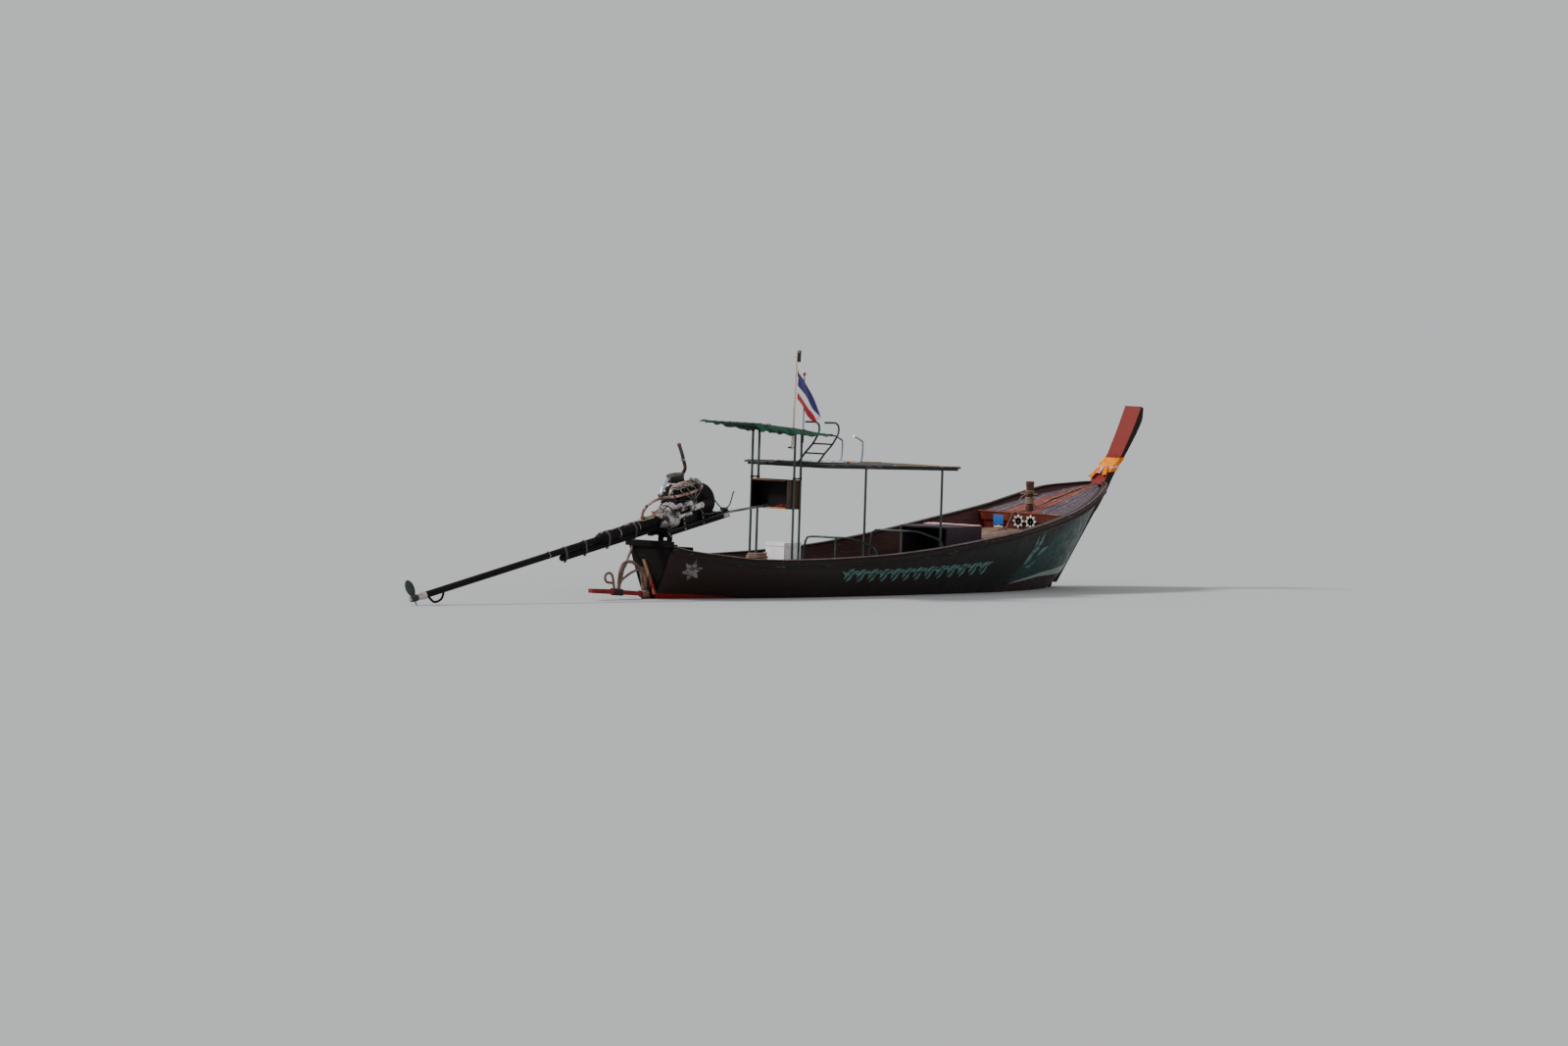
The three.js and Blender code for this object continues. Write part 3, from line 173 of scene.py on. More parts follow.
def on_hull(x, t, depth=0.0):
    """Point of the starboard side at station x: the section is the quadratic curve from the keel
    through the bilge to the sheer, t from 0 to 1, moved inwards by depth across the curve."""
    x, t = np.broadcast_arrays(np.asarray(x, float), np.asarray(t, float))
    row = between(x, STATIONS[:, 0], STATIONS[:, 1:])
    rake, breadth, sheer, bilge_y, bilge_z, keel_z = np.moveaxis(row, -1, 0)
    q = 1 - t
    y = q * q * KEEL_HALF + 2 * q * t * bilge_y + t * t * breadth
    z = q * q * keel_z + 2 * q * t * bilge_z + t * t * sheer
    dy = 2 * q * (bilge_y - KEEL_HALF) + 2 * t * (breadth - bilge_y)
    dz = 2 * q * (bilge_z - keel_z) + 2 * t * (sheer - bilge_z)
    size = np.hypot(dy, dz)
    y, z = y - depth * dz / size, z + depth * dy / size
    return xyz(x + rake * t, -y, z)


def mend(mesh, merge=None):
    """Turns the faces of a closed surface outwards, its points first joined where they meet."""
    work = bmesh.new()
    work.from_mesh(mesh)
    if merge:
        bmesh.ops.remove_doubles(work, verts=work.verts, dist=merge)
    bmesh.ops.recalc_face_normals(work, faces=work.faces)
    work.to_mesh(mesh)
    work.free()


def steps(grid, axis=0):
    """Distances between neighbouring points along one way of a grid."""
    return np.linalg.norm(np.diff(grid, axis=axis), axis=-1)


def build(name, surfaces, finish, replaced=(), edge=38, closed=True, body="hull"):
    """Makes one piece of several surfaces. Each is a grid of points, or a tuple of the grid, the
    place of its finish, whether its columns close on themselves and whether its first and last
    rows are filled. Its UV is the running length along both ways, in metres."""
    points, faces, uvs, kinds, start = [], [], [], [], 0
    for surface in surfaces:
        told = surface if isinstance(surface, tuple) else (surface,)
        grid, which, closes, ends = told + (0, True, True)[len(told) - 1:]
        grid = np.asarray(grid, float)
        rows, columns = grid.shape[:2]
        index = start + np.arange(rows * columns).reshape(rows, columns)
        along = np.r_[0, np.cumsum(steps(grid).mean(1))]
        across = steps(grid, 1).mean(0)
        if closes:
            index = np.hstack([index, index[:, :1]])
            last = np.linalg.norm(grid[:, 0] - grid[:, -1], axis=-1).mean()
            across = np.r_[across, last]
        across = np.r_[0, np.cumsum(across)]
        a, b, c, d = index[:-1, :-1], index[1:, :-1], index[1:, 1:], index[:-1, 1:]
        quads = np.stack([a, b, c, d], -1).reshape(-1, 4)
        u, v = np.meshgrid(along, across, indexing="ij")
        uv = np.stack([u, v], -1)
        corner = [uv[:-1, :-1], uv[1:, :-1], uv[1:, 1:], uv[:-1, 1:]]
        uvs.append(np.stack(corner, 2).reshape(-1, 2))
        faces += quads.tolist()
        kinds += [which] * len(quads)
        if ends:
            for row in (index[0], index[-1][::-1]):
                loop = row[:-1] if closes else row
                faces.append(loop.tolist())
                kinds.append(which)
                uvs.append(np.stack([linspace(0, 0.1, len(loop))] * 2, -1))
        points.append(grid.reshape(-1, 3))
        start += rows * columns
    mesh = bpy.data.meshes.new(name)
    mesh.from_pydata(np.vstack(points).tolist(), [], faces)
    for material in finish if isinstance(finish, (list, tuple)) else [finish]:
        mesh.materials.append(material)
    mesh.polygons.foreach_set("material_index", array(kinds, np.int32))
    mesh.polygons.foreach_set("use_smooth", np.ones(len(kinds), bool))
    layer = mesh.uv_layers.new(name="UVMap")
    layer.data.foreach_set("uv", np.vstack(uvs).astype(np.float32).ravel())
    if closed:
        mend(mesh)
    mesh.set_sharp_from_angle(angle=math.radians(edge))
    piece = bpy.data.objects.new(name, mesh)
    scene.collection.objects.link(piece)
    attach(piece, body)
    if replaced:
        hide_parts(*([replaced] if isinstance(replaced, str) else replaced))
    return piece


def thicken(piece, material, thickness, offset=0.0):
    """Gives a surface the thickness of its sheet or cloth."""
    made = piece.modifiers.new(material, "SOLIDIFY")
    made.thickness, made.offset = thickness, offset


def other_side(grid):
    """The same surface on the port side: y changes sign."""
    return np.asarray(grid, float) * (1, -1, 1)


# Gloss paint, brushed thin over planking: near black, browner aft and blue-green at the bow, with
# chalky scuffs. Red bottom paint under a line, and a pale stripe over it ahead.
PAINT_DARK, PAINT_BROWN, PAINT_SEA, PAINT_SCUFF = "#131211", "#2a1512", "#20403f", "#454b45"
BOTTOM_RED, BOTTOM_DARK, STRIPE_PALE, PAINT_EDGE = "#8e1c12", "#331a1f", "#8fa49a", 0.004

hull_gloss, add = finish_of("gloss_paint_on_planks")
place = add("TexCoord", out="Object")
run = add("UVMap", uv_map="UVMap")
worn = add("TexNoise", {"Vector": place, "Scale": 9, "Detail": 6, "Roughness": 0.65})
broad = add("TexNoise", {"Vector": place, "Scale": 0.8, "Detail": 3})
long_way = add("Mapping", {"Vector": place, "Scale": (1.2, 14, 14)})
streak = add("TexNoise", {"Vector": long_way, "Scale": 3, "Detail": 5})
fade = add("MapRange", {0: add("SeparateXYZ", {0: place}), 1: -5.0, 2: 2.5},
    interpolation_type="SMOOTHSTEP")
base = add("Mix", {0: fade, 6: PAINT_BROWN, 7: PAINT_DARK})
patchy = add("MapRange", {0: broad, 1: 0.4, 2: 0.7, 3: 0, 4: 0.35})
base = add("Mix", {0: patchy, 6: base, 7: "#1b2a25"})
field = add("Attribute", out="Fac", attribute_name="bow_field")
ragged = add("Math", {0: worn, 1: 0.16}, operation="MULTIPLY")
field_edge = add("Math", {0: field, 1: ragged}, operation="ADD")
in_field = add("MapRange", {0: field_edge, 1: 0.06, 2: 0.13, 4: 0.85})
base = add("Mix", {0: in_field, 6: base, 7: PAINT_SEA})
scuffed = add("MapRange", {0: streak, 1: 0.6, 2: 0.74, 3: 0, 4: 0.3})
base = add("Mix", {0: scuffed, 6: base, 7: PAINT_SCUFF})
wobble = add("MapRange", {0: worn, 3: -0.006, 4: 0.006})
aft = add("MapRange", {0: add("SeparateXYZ", {0: place}), 1: -4.4, 2: 0.5})
red = add("Mix", {0: aft, 6: BOTTOM_RED, 7: BOTTOM_DARK})
for name, tint in (("stripe", STRIPE_PALE), ("bottom", red)):
    height = add("Attribute", out="Fac", attribute_name=name)
    height = add("Math", {0: height, 1: wobble}, operation="ADD")
    inside = add("MapRange", {0: height, 1: 0, 2: PAINT_EDGE})
    base = add("Mix", {0: inside, 6: base, 7: tint})
seam = add("SeparateXYZ", {0: run}, 1)
seam = add("Math", {0: seam, 1: STRAKE}, operation="PINGPONG")
seam = add("MapRange", {0: seam, 1: 0, 2: 0.006, 3: 1, 4: 0})
base = add("Mix", {0: seam, 6: base, 7: "#0b0908"})
relief = add("Math", {0: streak, 1: 0.35}, operation="MULTIPLY")
relief = add("Math", {0: relief, 1: seam}, operation="SUBTRACT")
bump = add("Bump", {"Height": relief, "Strength": 0.5, "Distance": 0.004})
rough = add("MapRange", {0: worn, 1: 0.3, 2: 0.7, 3: 0.3, 4: 0.6})
add("BsdfPrincipled", {"Base Color": base, "IOR": 1.5, "Specular IOR Level": 0.25,
        "Roughness": rough, "Normal": bump})


def timber(name, colour, dark, worn_colour=None, axis="X", board=0.0, gloss=0.55, wear=0.3,
        across=1, coarse=1.0, region=None, shine=0.5):
    """Material of boards: grain is noise stretched along one axis, knots and weather are broad
    noise, board seams are a saw wave across, and wear shows bare wood past a threshold. A region
    (axis, from, to, colour) fades to another paint along an axis."""
    made, add = finish_of(name)
    place = add("TexCoord", out="Object")
    stretch = {"X": (1, 12, 12), "Y": (12, 1, 12), "Z": (12, 12, 1)}[axis]
    long_way = add("Mapping", {"Vector": place, "Scale": stretch})
    grain = add("TexNoise", {"Vector": long_way, "Scale": 6.0 * coarse, "Detail": 8,
            "Roughness": 0.6, "Distortion": 0.4})
    broad = add("TexNoise", {"Vector": place, "Scale": 2.2, "Detail": 4})
    chips = add("TexNoise", {"Vector": long_way, "Scale": 2.5, "Detail": 9, "Roughness": 0.7})
    tone = add("MapRange", {0: grain, 1: 0.3, 2: 0.7})
    base = add("Mix", {0: tone, 6: dark, 7: colour})
    shadow = add("MapRange", {0: broad, 1: 0.35, 2: 0.65, 3: 0.45, 4: 0})
    base = add("Mix", {0: shadow, 6: base, 7: dark})
    if region:
        axis_of, start, end, other = region
        far = add("MapRange", {0: add("SeparateXYZ", {0: place}, axis_of), 1: start, 2: end})
        far = add("Math", {0: far, 1: add("MapRange", {0: broad, 3: 0.85, 4: 1.1})},
            operation="MULTIPLY", use_clamp=True)
        base = add("Mix", {0: far, 6: base, 7: other})
    height = grain
    if board:
        side_way = add("SeparateXYZ", {0: place}, across)
        number = add("Math", {0: side_way, 1: board}, operation="DIVIDE")
        floor_of = add("Math", {0: number}, operation="FLOOR")
        chance = add("TexWhiteNoise", {"W": floor_of}, noise_dimensions="1D")
        differs = add("MapRange", {0: chance, 3: -0.28, 4: 0.28})
        value = add("Math", {0: differs, 1: 1}, operation="ADD")
        base = add("HueSaturation", {"Color": base, "Value": value})
        gap = add("Math", {0: side_way, 1: board / 2}, operation="PINGPONG")
        gap = add("MapRange", {0: gap, 1: 0, 2: 0.005, 3: 1, 4: 0})
        base = add("Mix", {0: gap, 6: base, 7: "#0d0907"})
        height = add("Math", {0: grain, 1: gap}, operation="SUBTRACT")
    if worn_colour:
        bare = add("MapRange", {0: chips, 1: 0.66 - wear * 0.2, 2: 0.7 - wear * 0.2, 4: 0.8})
        base = add("Mix", {0: bare, 6: base, 7: worn_colour})
    bump = add("Bump", {"Height": height, "Strength": 0.45, "Distance": 0.003})
    rough = add("MapRange", {0: chips, 1: 0.3, 2: 0.7, 3: gloss - 0.1, 4: gloss + 0.2})
    add("BsdfPrincipled", {"Base Color": base, "IOR": 1.5, "Specular IOR Level": shine,
            "Roughness": rough, "Normal": bump})
    return made


# Oiled hardwood inside: dull red-brown, dirty between the boards.
inner_wood = timber("oiled_hardwood_inside", "#5e281c", "#2b130e", "#8a4a32", wear=0.35)

BOTTOM_LINE = [[-5.95, 0.085], [-5.2, 0.065], [-4.65, 0.03], [-4.0, -0.03], [-2.0, -0.06],
    [0.6, -0.03], [1.5, 0.12], [2.5, 0.225], [3.5, 0.24], [4.8, 0.28]]
STRIPE_TOP = [[-5.95, -0.2], [-0.2, -0.2], [0.6, -0.08], [1.4, 0.09], [1.75, 0.17], [2.5, 0.285],
    [3.5, 0.37], [4.8, 0.48]]
FIELD_AFT = [[-0.4, 3.3], [0.2, 1.5], [0.45, 1.75], [0.7, 2.35], [0.85, 2.5], [1.1, 3.2],
    [1.5, 3.9], [1.7, 4.2]]


def bare_shell(t0, t1, sides):
    """Outer and inner skin of the planking from curve place t0 to t1, closed at its edges."""
    x = between(linspace(0, 16, 241), range(17), STATIONS[:, 0])[:, None]
    t = linspace(t0, t1, 22)
    outer, inner = on_hull(x, t), on_hull(x, t, PLANK)
    if sides == 2:
        outer = np.hstack([outer[:, ::-1], other_side(outer)])
        inner = np.hstack([inner[:, ::-1], other_side(inner)])
    return [outer, inner] if sides else [other_side(outer), other_side(inner)]


def paint_heights(piece):
    """Three signed distances at each vertex, for the paint's edges: under the bottom paint's line,
    under the stripe's top, and forward of the bow field's after edge."""
    mesh = piece.data
    co = np.zeros(len(mesh.vertices) * 3, np.float32)
    mesh.vertices.foreach_get("co", co)
    x, y, z = co.reshape(-1, 3).T
    bottom, top, aft = (interp(*known) for known in ((x, *zip(*BOTTOM_LINE)),
            (x, *zip(*STRIPE_TOP)), (z, *zip(*FIELD_AFT))))
    for name, value in (("bottom", bottom - z), ("stripe", top - z), ("bow_field", (x - aft) / 2)):
        layer = mesh.attributes.new(name, "FLOAT", "POINT")
        layer.data.foreach_set("value", value.astype(np.float32))


for name, span, sides in (("hull_bottom", (0.0, BILGE_AT), 2),
        ("hull_side_starboard", (BILGE_AT, 1.0), 1), ("hull_side_port", (BILGE_AT, 1.0), 0)):
    outer, inner = bare_shell(*span, sides)
    rims = [np.stack([outer[:, k], inner[:, k]], 1) for k in (0, -1)]
    tips = [np.stack([outer[k], inner[k]], 1) for k in (0, -1)]
    planks = build(name.replace("hull", "planking"), [(outer, 0, False, False),
            (inner, 1, False, False)] + [(edge, 1, False, False) for edge in rims + tips],
        [hull_gloss, inner_wood], name, closed=False)
    mend(planks.data, 1e-5)
    planks.data.set_sharp_from_angle(angle=math.radians(38))
    paint_heights(planks)


# Gunwales: a varnished cap along each side with its corners rounded, a skirt under it, and two
# half-round rub rails nailed outside, whose noses are rubbed pale.
rail_wood = timber("varnished_rail", "#2a100f", "#120706", "#4a302b", wear=0.15, gloss=0.45,
    shine=0.3)
rubbed_wood = timber("rubbed_rail_nose", "#5d4744", "#2a1b1a", "#8f786f",
    region=(0, 2.2, 0.6, "#17100e"), shine=0.3)
bare_arris = timber("bare_rail_arris", "#a98f86", "#57403b", "#c4aca2", wear=0.4, gloss=0.6)
CAP_IN, CAP_OUT, CAP_THICK = 0.055, 0.03, 0.025
RAIL_OUT, RAIL_DEEP, RAIL_DROPS, BOW_END = 0.034, 0.026, (0.004, 0.074), 4.657


def rounded(y0, y1, z0, z1, radius):
    """Outline of a bar: a box whose corners are quarter circles of the radius."""
    turn = linspace(0, pi / 2, 5)
    corners = [(y1 - radius, z1 - radius, 0), (y0 + radius, z1 - radius, 1),
        (y0 + radius, z0 + radius, 2), (y1 - radius, z0 + radius, 3)]
    return np.vstack([np.stack([y + radius * cos(turn + k * pi / 2),
            z + radius * sin(turn + k * pi / 2)], -1) for y, z, k in corners])


def along_sheer(outline):
    """The outline (outwards, up) carried along the starboard sheer line."""
    x = linspace(STATIONS[0, 0], BOW_END, 221)
    line = on_hull(x, 1.0)
    y = line[:, None, 1] - outline[:, 0]
    z = line[:, None, 2] + outline[:, 1]
    return xyz(line[:, None, 0], y, z)


cap_outline = rounded(-CAP_IN, CAP_OUT, 0.0003, 0.0003 + CAP_THICK, 0.008)
skirt_outline = rounded(0.006, 0.016, -RAIL_DROPS[1], 0.0053, 0.003)
rail_outlines = [rounded(0.006, RAIL_OUT, -drop - RAIL_DEEP, -drop, 0.0125) for drop in RAIL_DROPS]
arris_outline = rounded(CAP_OUT - 0.01, CAP_OUT + 0.0015, CAP_THICK - 0.009, CAP_THICK + 0.002,
    0.002)
for name, mirror in (("gunwale_starboard", np.asarray), ("gunwale_port", other_side)):
    bars = [(mirror(along_sheer(o)), which) for o, which in zip([cap_outline, skirt_outline,
            *rail_outlines, arris_outline], (0, 0, 1, 1, 2))]
    build(name.replace("gunwale", "sheer_rails"), bars, [rail_wood, rubbed_wood, bare_arris],
        name)


# Transom, stern deck and beam: broad boards under the same paint, browner and dull, with the red
# bottom paint a hand high over the water. They keep the model's solids.
stern_paint = timber("dull_paint_on_boards", "#160e0c", "#090606", "#33231c", axis="Y", board=0.19,
    shine=0.1, across=2, wear=0.15, gloss=0.5)
keel_paint = timber("chalky_bottom_paint", "#a32a2c", "#6e1718", "#b5665c", wear=0.2, gloss=0.75,
    region=(0, -3.0, 1.0, "#2a1418"), shine=0.3)


def dress(names, material):
    """Gives a finish to every slot of some of the model's nodes."""
    for name in names.split():
        for place in nodes[name].material_slots:
            place.material = material


dress("transom stern_deck stern_beam", stern_paint)
dress("keel", keel_paint)


# Stem post: one tall curved timber, square with eased corners, that carries the planks' forward
# ends. Its after and fore faces are red lacquer with a painted highlight of brighter red along the
# eased corners, and its flanks are painted near black as shade.
# Rows: after face x and z, fore face x and z, half width.
STEM = array([[3.7004, 0.1397, 3.785, 0.07, 0.042], [4.2004, 0.7397, 4.285, 0.665, 0.042],
        [4.5804, 1.1997, 4.668, 1.128, 0.046], [4.6604, 1.2967, 4.76, 1.235, 0.06],
        [4.7654, 1.6117, 4.925, 1.59, 0.143], [4.868, 1.752, 5.045, 1.765, 0.143],
        [4.985, 1.88, 5.15, 1.905, 0.143], [5.192, 2.051, 5.312, 2.063, 0.146],
        [5.294, 2.205, 5.43, 2.217, 0.152], [5.422, 2.405, 5.578, 2.418, 0.158],
        [5.532, 2.6, 5.7, 2.64, 0.162], [5.65, 2.818, 5.712, 2.785, 0.165]])
STEM_EASE = 0.012


def stem_rings(place, grown=0.0, columns=9):
    """Rings round the stem post at places counted in rows of its table: a box from the after to
    the fore face with eased corners, grown outwards by the given amount."""
    place = np.asarray(place, float)
    x, z, fx, fz, half = np.moveaxis(between(place, range(len(STEM)), STEM), -1, 0)
    grown = np.broadcast_to(grown, place.shape)
    long, ease = np.hypot(fx - x, fz - z), STEM_EASE + grown
    turn = linspace(0, pi / 2, columns)
    rings = []
    for k, (side_sign, far) in enumerate(((1, 1), (-1, 1), (-1, 0), (1, 0))):
        angle = turn + k * pi / 2
        y = (side_sign * (half + grown - ease))[:, None] + ease[:, None] * cos(angle)
        s = (far * (long + 2 * grown - 2 * ease) + ease - grown)[:, None]
        s = (s + ease[:, None] * sin(angle)) / long[:, None]
        ring = [x[:, None] + (fx - x)[:, None] * s, y, z[:, None] + (fz - z)[:, None] * s]
        rings.append(np.stack(ring, -1))
    return np.concatenate(rings, 1)


lacquer, add = finish_of("red_lacquer_on_stem")
flank = add("SeparateXYZ", {0: add("TexCoord", out="Normal")}, 1)
flank = add("Math", {0: flank}, operation="ABSOLUTE")
up_grain = add("Mapping", {"Vector": add("TexCoord", out="Object"), "Scale": (9, 14, 3),
        "Rotation": (0, -0.5, 0)})
grain = add("TexNoise", {"Vector": up_grain, "Scale": 3, "Detail": 7, "Roughness": 0.65})
tone = add("MapRange", {0: grain, 1: 0.35, 2: 0.65})
red = add("Mix", {0: tone, 6: "#560d06", 7: "#931f10"})
# Painted shade: the flanks, the faces across the boat, turn near black as if they lay in shade.
flank_shade = add("Mix", {0: tone, 6: "#120c0c", 7: "#241716"})
in_flank_shade = add("MapRange", {0: flank, 1: 0.72, 2: 0.92})
base = add("Mix", {0: in_flank_shade, 6: red, 7: flank_shade})
# Painted highlight: a brighter red along the eased corners between the faces.
arris_highlight = add("MapRange", {0: flank, 1: 0.3, 2: 0.6, 3: 0, 4: 1})
arris_highlight = add("Math", {0: arris_highlight, 1: add("MapRange", {0: flank, 1: 0.62, 2: 0.8, 3: 0.8, 4: 0})},
    operation="MULTIPLY")
base = add("Mix", {0: arris_highlight, 6: base, 7: "#a33f2c"})
bump = add("Bump", {"Height": grain, "Strength": 0.35, "Distance": 0.003})
rough = add("MapRange", {0: grain, 1: 0.3, 2: 0.7, 3: 0.5, 4: 0.7})
add("BsdfPrincipled", {"Base Color": base, "IOR": 1.5, "Specular IOR Level": 0.2,
        "Roughness": rough, "Normal": bump})
build("stem", [stem_rings(linspace(0, 11, 133))], lacquer, "stem_post")


# Painted leaves: a running band of curled leaves along each side, in worn sea-green, and larger
# ones at the quarter and the bow. They lie a brush stroke thick on the planking.
def leaf_on_side(x, t, turn, length, width, curl):
    """A leaf on the starboard planking. Its vein starts at (x, t) and bends evenly from the angle
    turn by curl; its width is the sine of its length, so that both ends come to a point."""
    s = linspace(0, 1, 25)
    angle = turn + curl * s
    dx = np.cumsum(cos(angle)) * length / len(s)
    dh = np.cumsum(sin(angle)) * length / len(s)
    half = 0.5 * width * sin(pi * s ** 0.8)
    across = linspace(-1, 1, 6)
    px = x + dx[:, None] - sin(angle)[:, None] * half[:, None] * across
    ph = dh[:, None] + cos(angle)[:, None] * half[:, None] * across
    girth = np.linalg.norm(on_hull(x, t + 0.05) - on_hull(x, t - 0.05)) / 0.1
    return on_hull(px, clip(t + ph / girth, 0, 0.985), -0.0015)


leaf_paint = timber("worn_leaf_paint", "#6fa39b", "#2c5450", "#1d2b29", wear=0.7, gloss=0.5,
    coarse=2.0)
quarter_paint = timber("worn_grey_paint", "#a9a2a4", "#5b5457", "#2a2220", wear=0.9, gloss=0.6,
    coarse=2.0)
LEAVES = [(0.0, -0.07, 1.35, 0.27, 0.06, -1.3), (0.03, -0.09, 0.35, 0.23, 0.055, 1.2),
    (0.13, -0.02, 0.85, 0.19, 0.045, -1.0), (0.02, -0.02, 2.0, 0.14, 0.042, 1.2)]
band = [leaf_on_side(x + dx, t + dt, turn, size, wide, curl)
    for x, t in zip(linspace(-2.5, 0.62, 13), linspace(0.84, 0.8, 13))
    for dx, dt, turn, size, wide, curl in LEAVES]
bow_leaves = [leaf_on_side(1.75 + dx, 0.82 + dt, turn, size, wide, curl)
    for dx, dt, turn, size, wide, curl in ((0.0, -0.1, 0.55, 0.52, 0.1, 0.9),
        (0.14, -0.02, 0.3, 0.48, 0.09, 1.1), (0.34, -0.05, 0.7, 0.36, 0.07, -0.8),
        (0.1, -0.12, -0.1, 0.3, 0.06, 0.9))]
quarter = [leaf_on_side(-5.44, 0.77, turn, 0.17, 0.075, 0.25)
    for turn in np.arange(6) * pi / 3 + 0.3]
for name, leaves, paint_on in (("leaf_band", band, leaf_paint),
        ("bow_leaves", bow_leaves, leaf_paint), ("quarter_rosette", quarter, quarter_paint)):
    for end, mirror in (("starboard", np.asarray), ("port", other_side)):
        build(f"{name}_{end}", [(mirror(one), 0, False, False) for one in leaves], paint_on,
            closed=False)


# Inside: sawn frames with stringers, floorboards, benches and decks, all in the model's solids.
# Oiled hardwood below, bare worn boards where feet and crates scrub them.
floor_boards = timber("oiled_floorboards", "#5a2a1d", "#26110c", "#8a5a40", board=0.16, wear=0.5,
    gloss=0.65)
bare_boards = timber("scrubbed_boards", "#8f6f5a", "#55392a", "#b39a84", board=0.14, wear=0.5,
    gloss=0.75)
bench_boards = timber("worn_bench_boards", "#7b4b34", "#3d2015", "#a98568", axis="Y", board=0.16,
    across=0, wear=0.5, gloss=0.6)
dress("hull_frames", inner_wood)
dress("floorboards aft_deck", floor_boards)
dress("well_deck", bare_boards)
dress("bench_aft bench_middle bench_forward", bench_boards)


# Foredeck: bent planks that run to the stem and taper with the bow. Red-brown ones in the middle,
# purple-grey ones at the sides with a thin pale plank in each, a painted highlight streak, and
# dark margin planks.
DECK_X, DECK_Z, DECK_THICK = [2.9953, 4.56, 4.748], [1.17, 1.555, 1.601], 0.035


def inside_breadth(x, z, depth):
    """Half breadth inside the planking at height z: the curve is sampled in t and read at z."""
    t = linspace(0.3, 1, 120)
    curve = on_hull(x[:, None], t, depth)
    return array([interp(level, row[:, 2], -row[:, 1]) for level, row in zip(z, curve)])


def board_edges(left, right, gap, ease):
    """Across a board laid with gaps: foot, arris and ease of its left edge, then of its right."""
    a, b = left + gap, right - gap
    return np.stack([a, a, a + ease, b - ease, b, b], -1)


deck_red = timber("red_deck_plank", "#98412f", "#5a1d14", "#b87a66", wear=0.5, gloss=0.5)
deck_grey = timber("purple_grey_deck_plank", "#5b4856", "#332630", "#94808a", wear=0.45, gloss=0.5)
deck_dark = timber("dark_margin_plank", "#2e1a1c", "#170c0e", "#6e4c46", gloss=0.45)
# The thin pale plank is a painted highlight streak along the deck.
deck_pale_highlight = timber("pale_plank_painted_highlight", "#a08e94", "#6b5860", "#c4b6b8", wear=0.5, gloss=0.6)
# Plank edges across the deck as shares of its half breadth, starboard first, and each one's finish
DECK_EDGES = [-1.0, -0.9, -0.66, -0.62, -0.44, -0.24, -0.08, 0.05, 0.13, 0.3, 0.48, 0.62, 0.66,
    0.9, 1.0]
DECK_FINISH = [2, 1, 3, 1, 1, 0, 0, 2, 0, 0, 1, 3, 1, 2]
deck_x = linspace(DECK_X[0], 4.74, 60)
deck_top = interp(deck_x, DECK_X, DECK_Z)
deck_half = np.minimum(inside_breadth(deck_x, deck_top - DECK_THICK, PLANK + 0.002),
    inside_breadth(deck_x, deck_top, PLANK + 0.002))
planks = []
for left, right, kind in zip(DECK_EDGES, DECK_EDGES[1:], DECK_FINISH):
    edges = board_edges(left, right, 0.006, 0.01)
    heights = array([-DECK_THICK, -0.006, 0, 0, -0.006, -DECK_THICK])
    camber = 0.006 * (1 - edges ** 2)
    z = deck_top[:, None] + heights + camber
    planks.append((xyz(deck_x[:, None], deck_half[:, None] * edges, z), kind))
build("foredeck_planks", planks, [deck_red, deck_grey, deck_dark, deck_pale_highlight],
    "foredeck", edge=25)


# Footboards: loose bare boards laid fore and aft on bearers, clear of the bilge. They are cut in
# bays between the benches and round the box, and the outer ones are scribed to the planking.
def bar(low, high, ease=0.004):
    """A straight bar from corner to corner: its outline across x with eased corners, along x."""
    (x0, y0, z0), (x1, y1, z1) = low, high
    outline = rounded(y0, y1, z0, z1, ease)
    x = array([x0, x0 + ease, x1 - ease, x1])
    shrink = array([ease, 0, 0, ease])
    middle = array([(y0 + y1) / 2, (z0 + z1) / 2])
    half = array([(y1 - y0) / 2, (z1 - z0) / 2])
    scale = (half - shrink[:, None]) / half
    ring = middle + (outline - middle)[None] * scale[:, None]
    return np.concatenate([np.broadcast_to(x[:, None, None], (4, len(outline), 1)), ring], -1)


FOOT_TOP, FOOT_THICK, FLOOR_TOP, BOARD_WIDE, BOX_SIDE = 0.03, 0.022, -0.0898, 0.15, 0.468
BOX_BAY = (0.491, 1.329)
FOOT_BAYS = [(-2.95, -1.303), (-1.257, -0.523), (-0.477, 0.277), (0.323, 0.487), BOX_BAY,
    (1.333, 2.1)]
footboards = []
for aft, fore in FOOT_BAYS:
    x = linspace(aft, fore, 14)
    half = inside_breadth(x, np.full(len(x), FOOT_TOP - FOOT_THICK), PLANK + 0.003)
    edges = (-BOX_SIDE, BOX_SIDE) if (aft, fore) == BOX_BAY else BOARD_WIDE * np.arange(-3, 4)
    sides = [-half, *(clip(edge, -half, half) for edge in edges), half]
    for left, right in zip(sides, sides[1:]):
        if np.mean(right - left) > 2 * BOX_SIDE - 0.01:
            continue
        z = FOOT_TOP + array([-FOOT_THICK, -0.004, 0, 0, -0.004, -FOOT_THICK])
        footboards.append(xyz(x[:, None], board_edges(left, right, 0.002, 0.004), z))
    for at in (aft + 0.06, fore - 0.06):
        if not 0.45 < at < 1.4:
            footboards.append(bar((at - 0.02, -0.44, FLOOR_TOP),
                    (at + 0.02, 0.44, FOOT_TOP - FOOT_THICK + 0.001)))
build("footboards", footboards, floor_boards, edge=25)


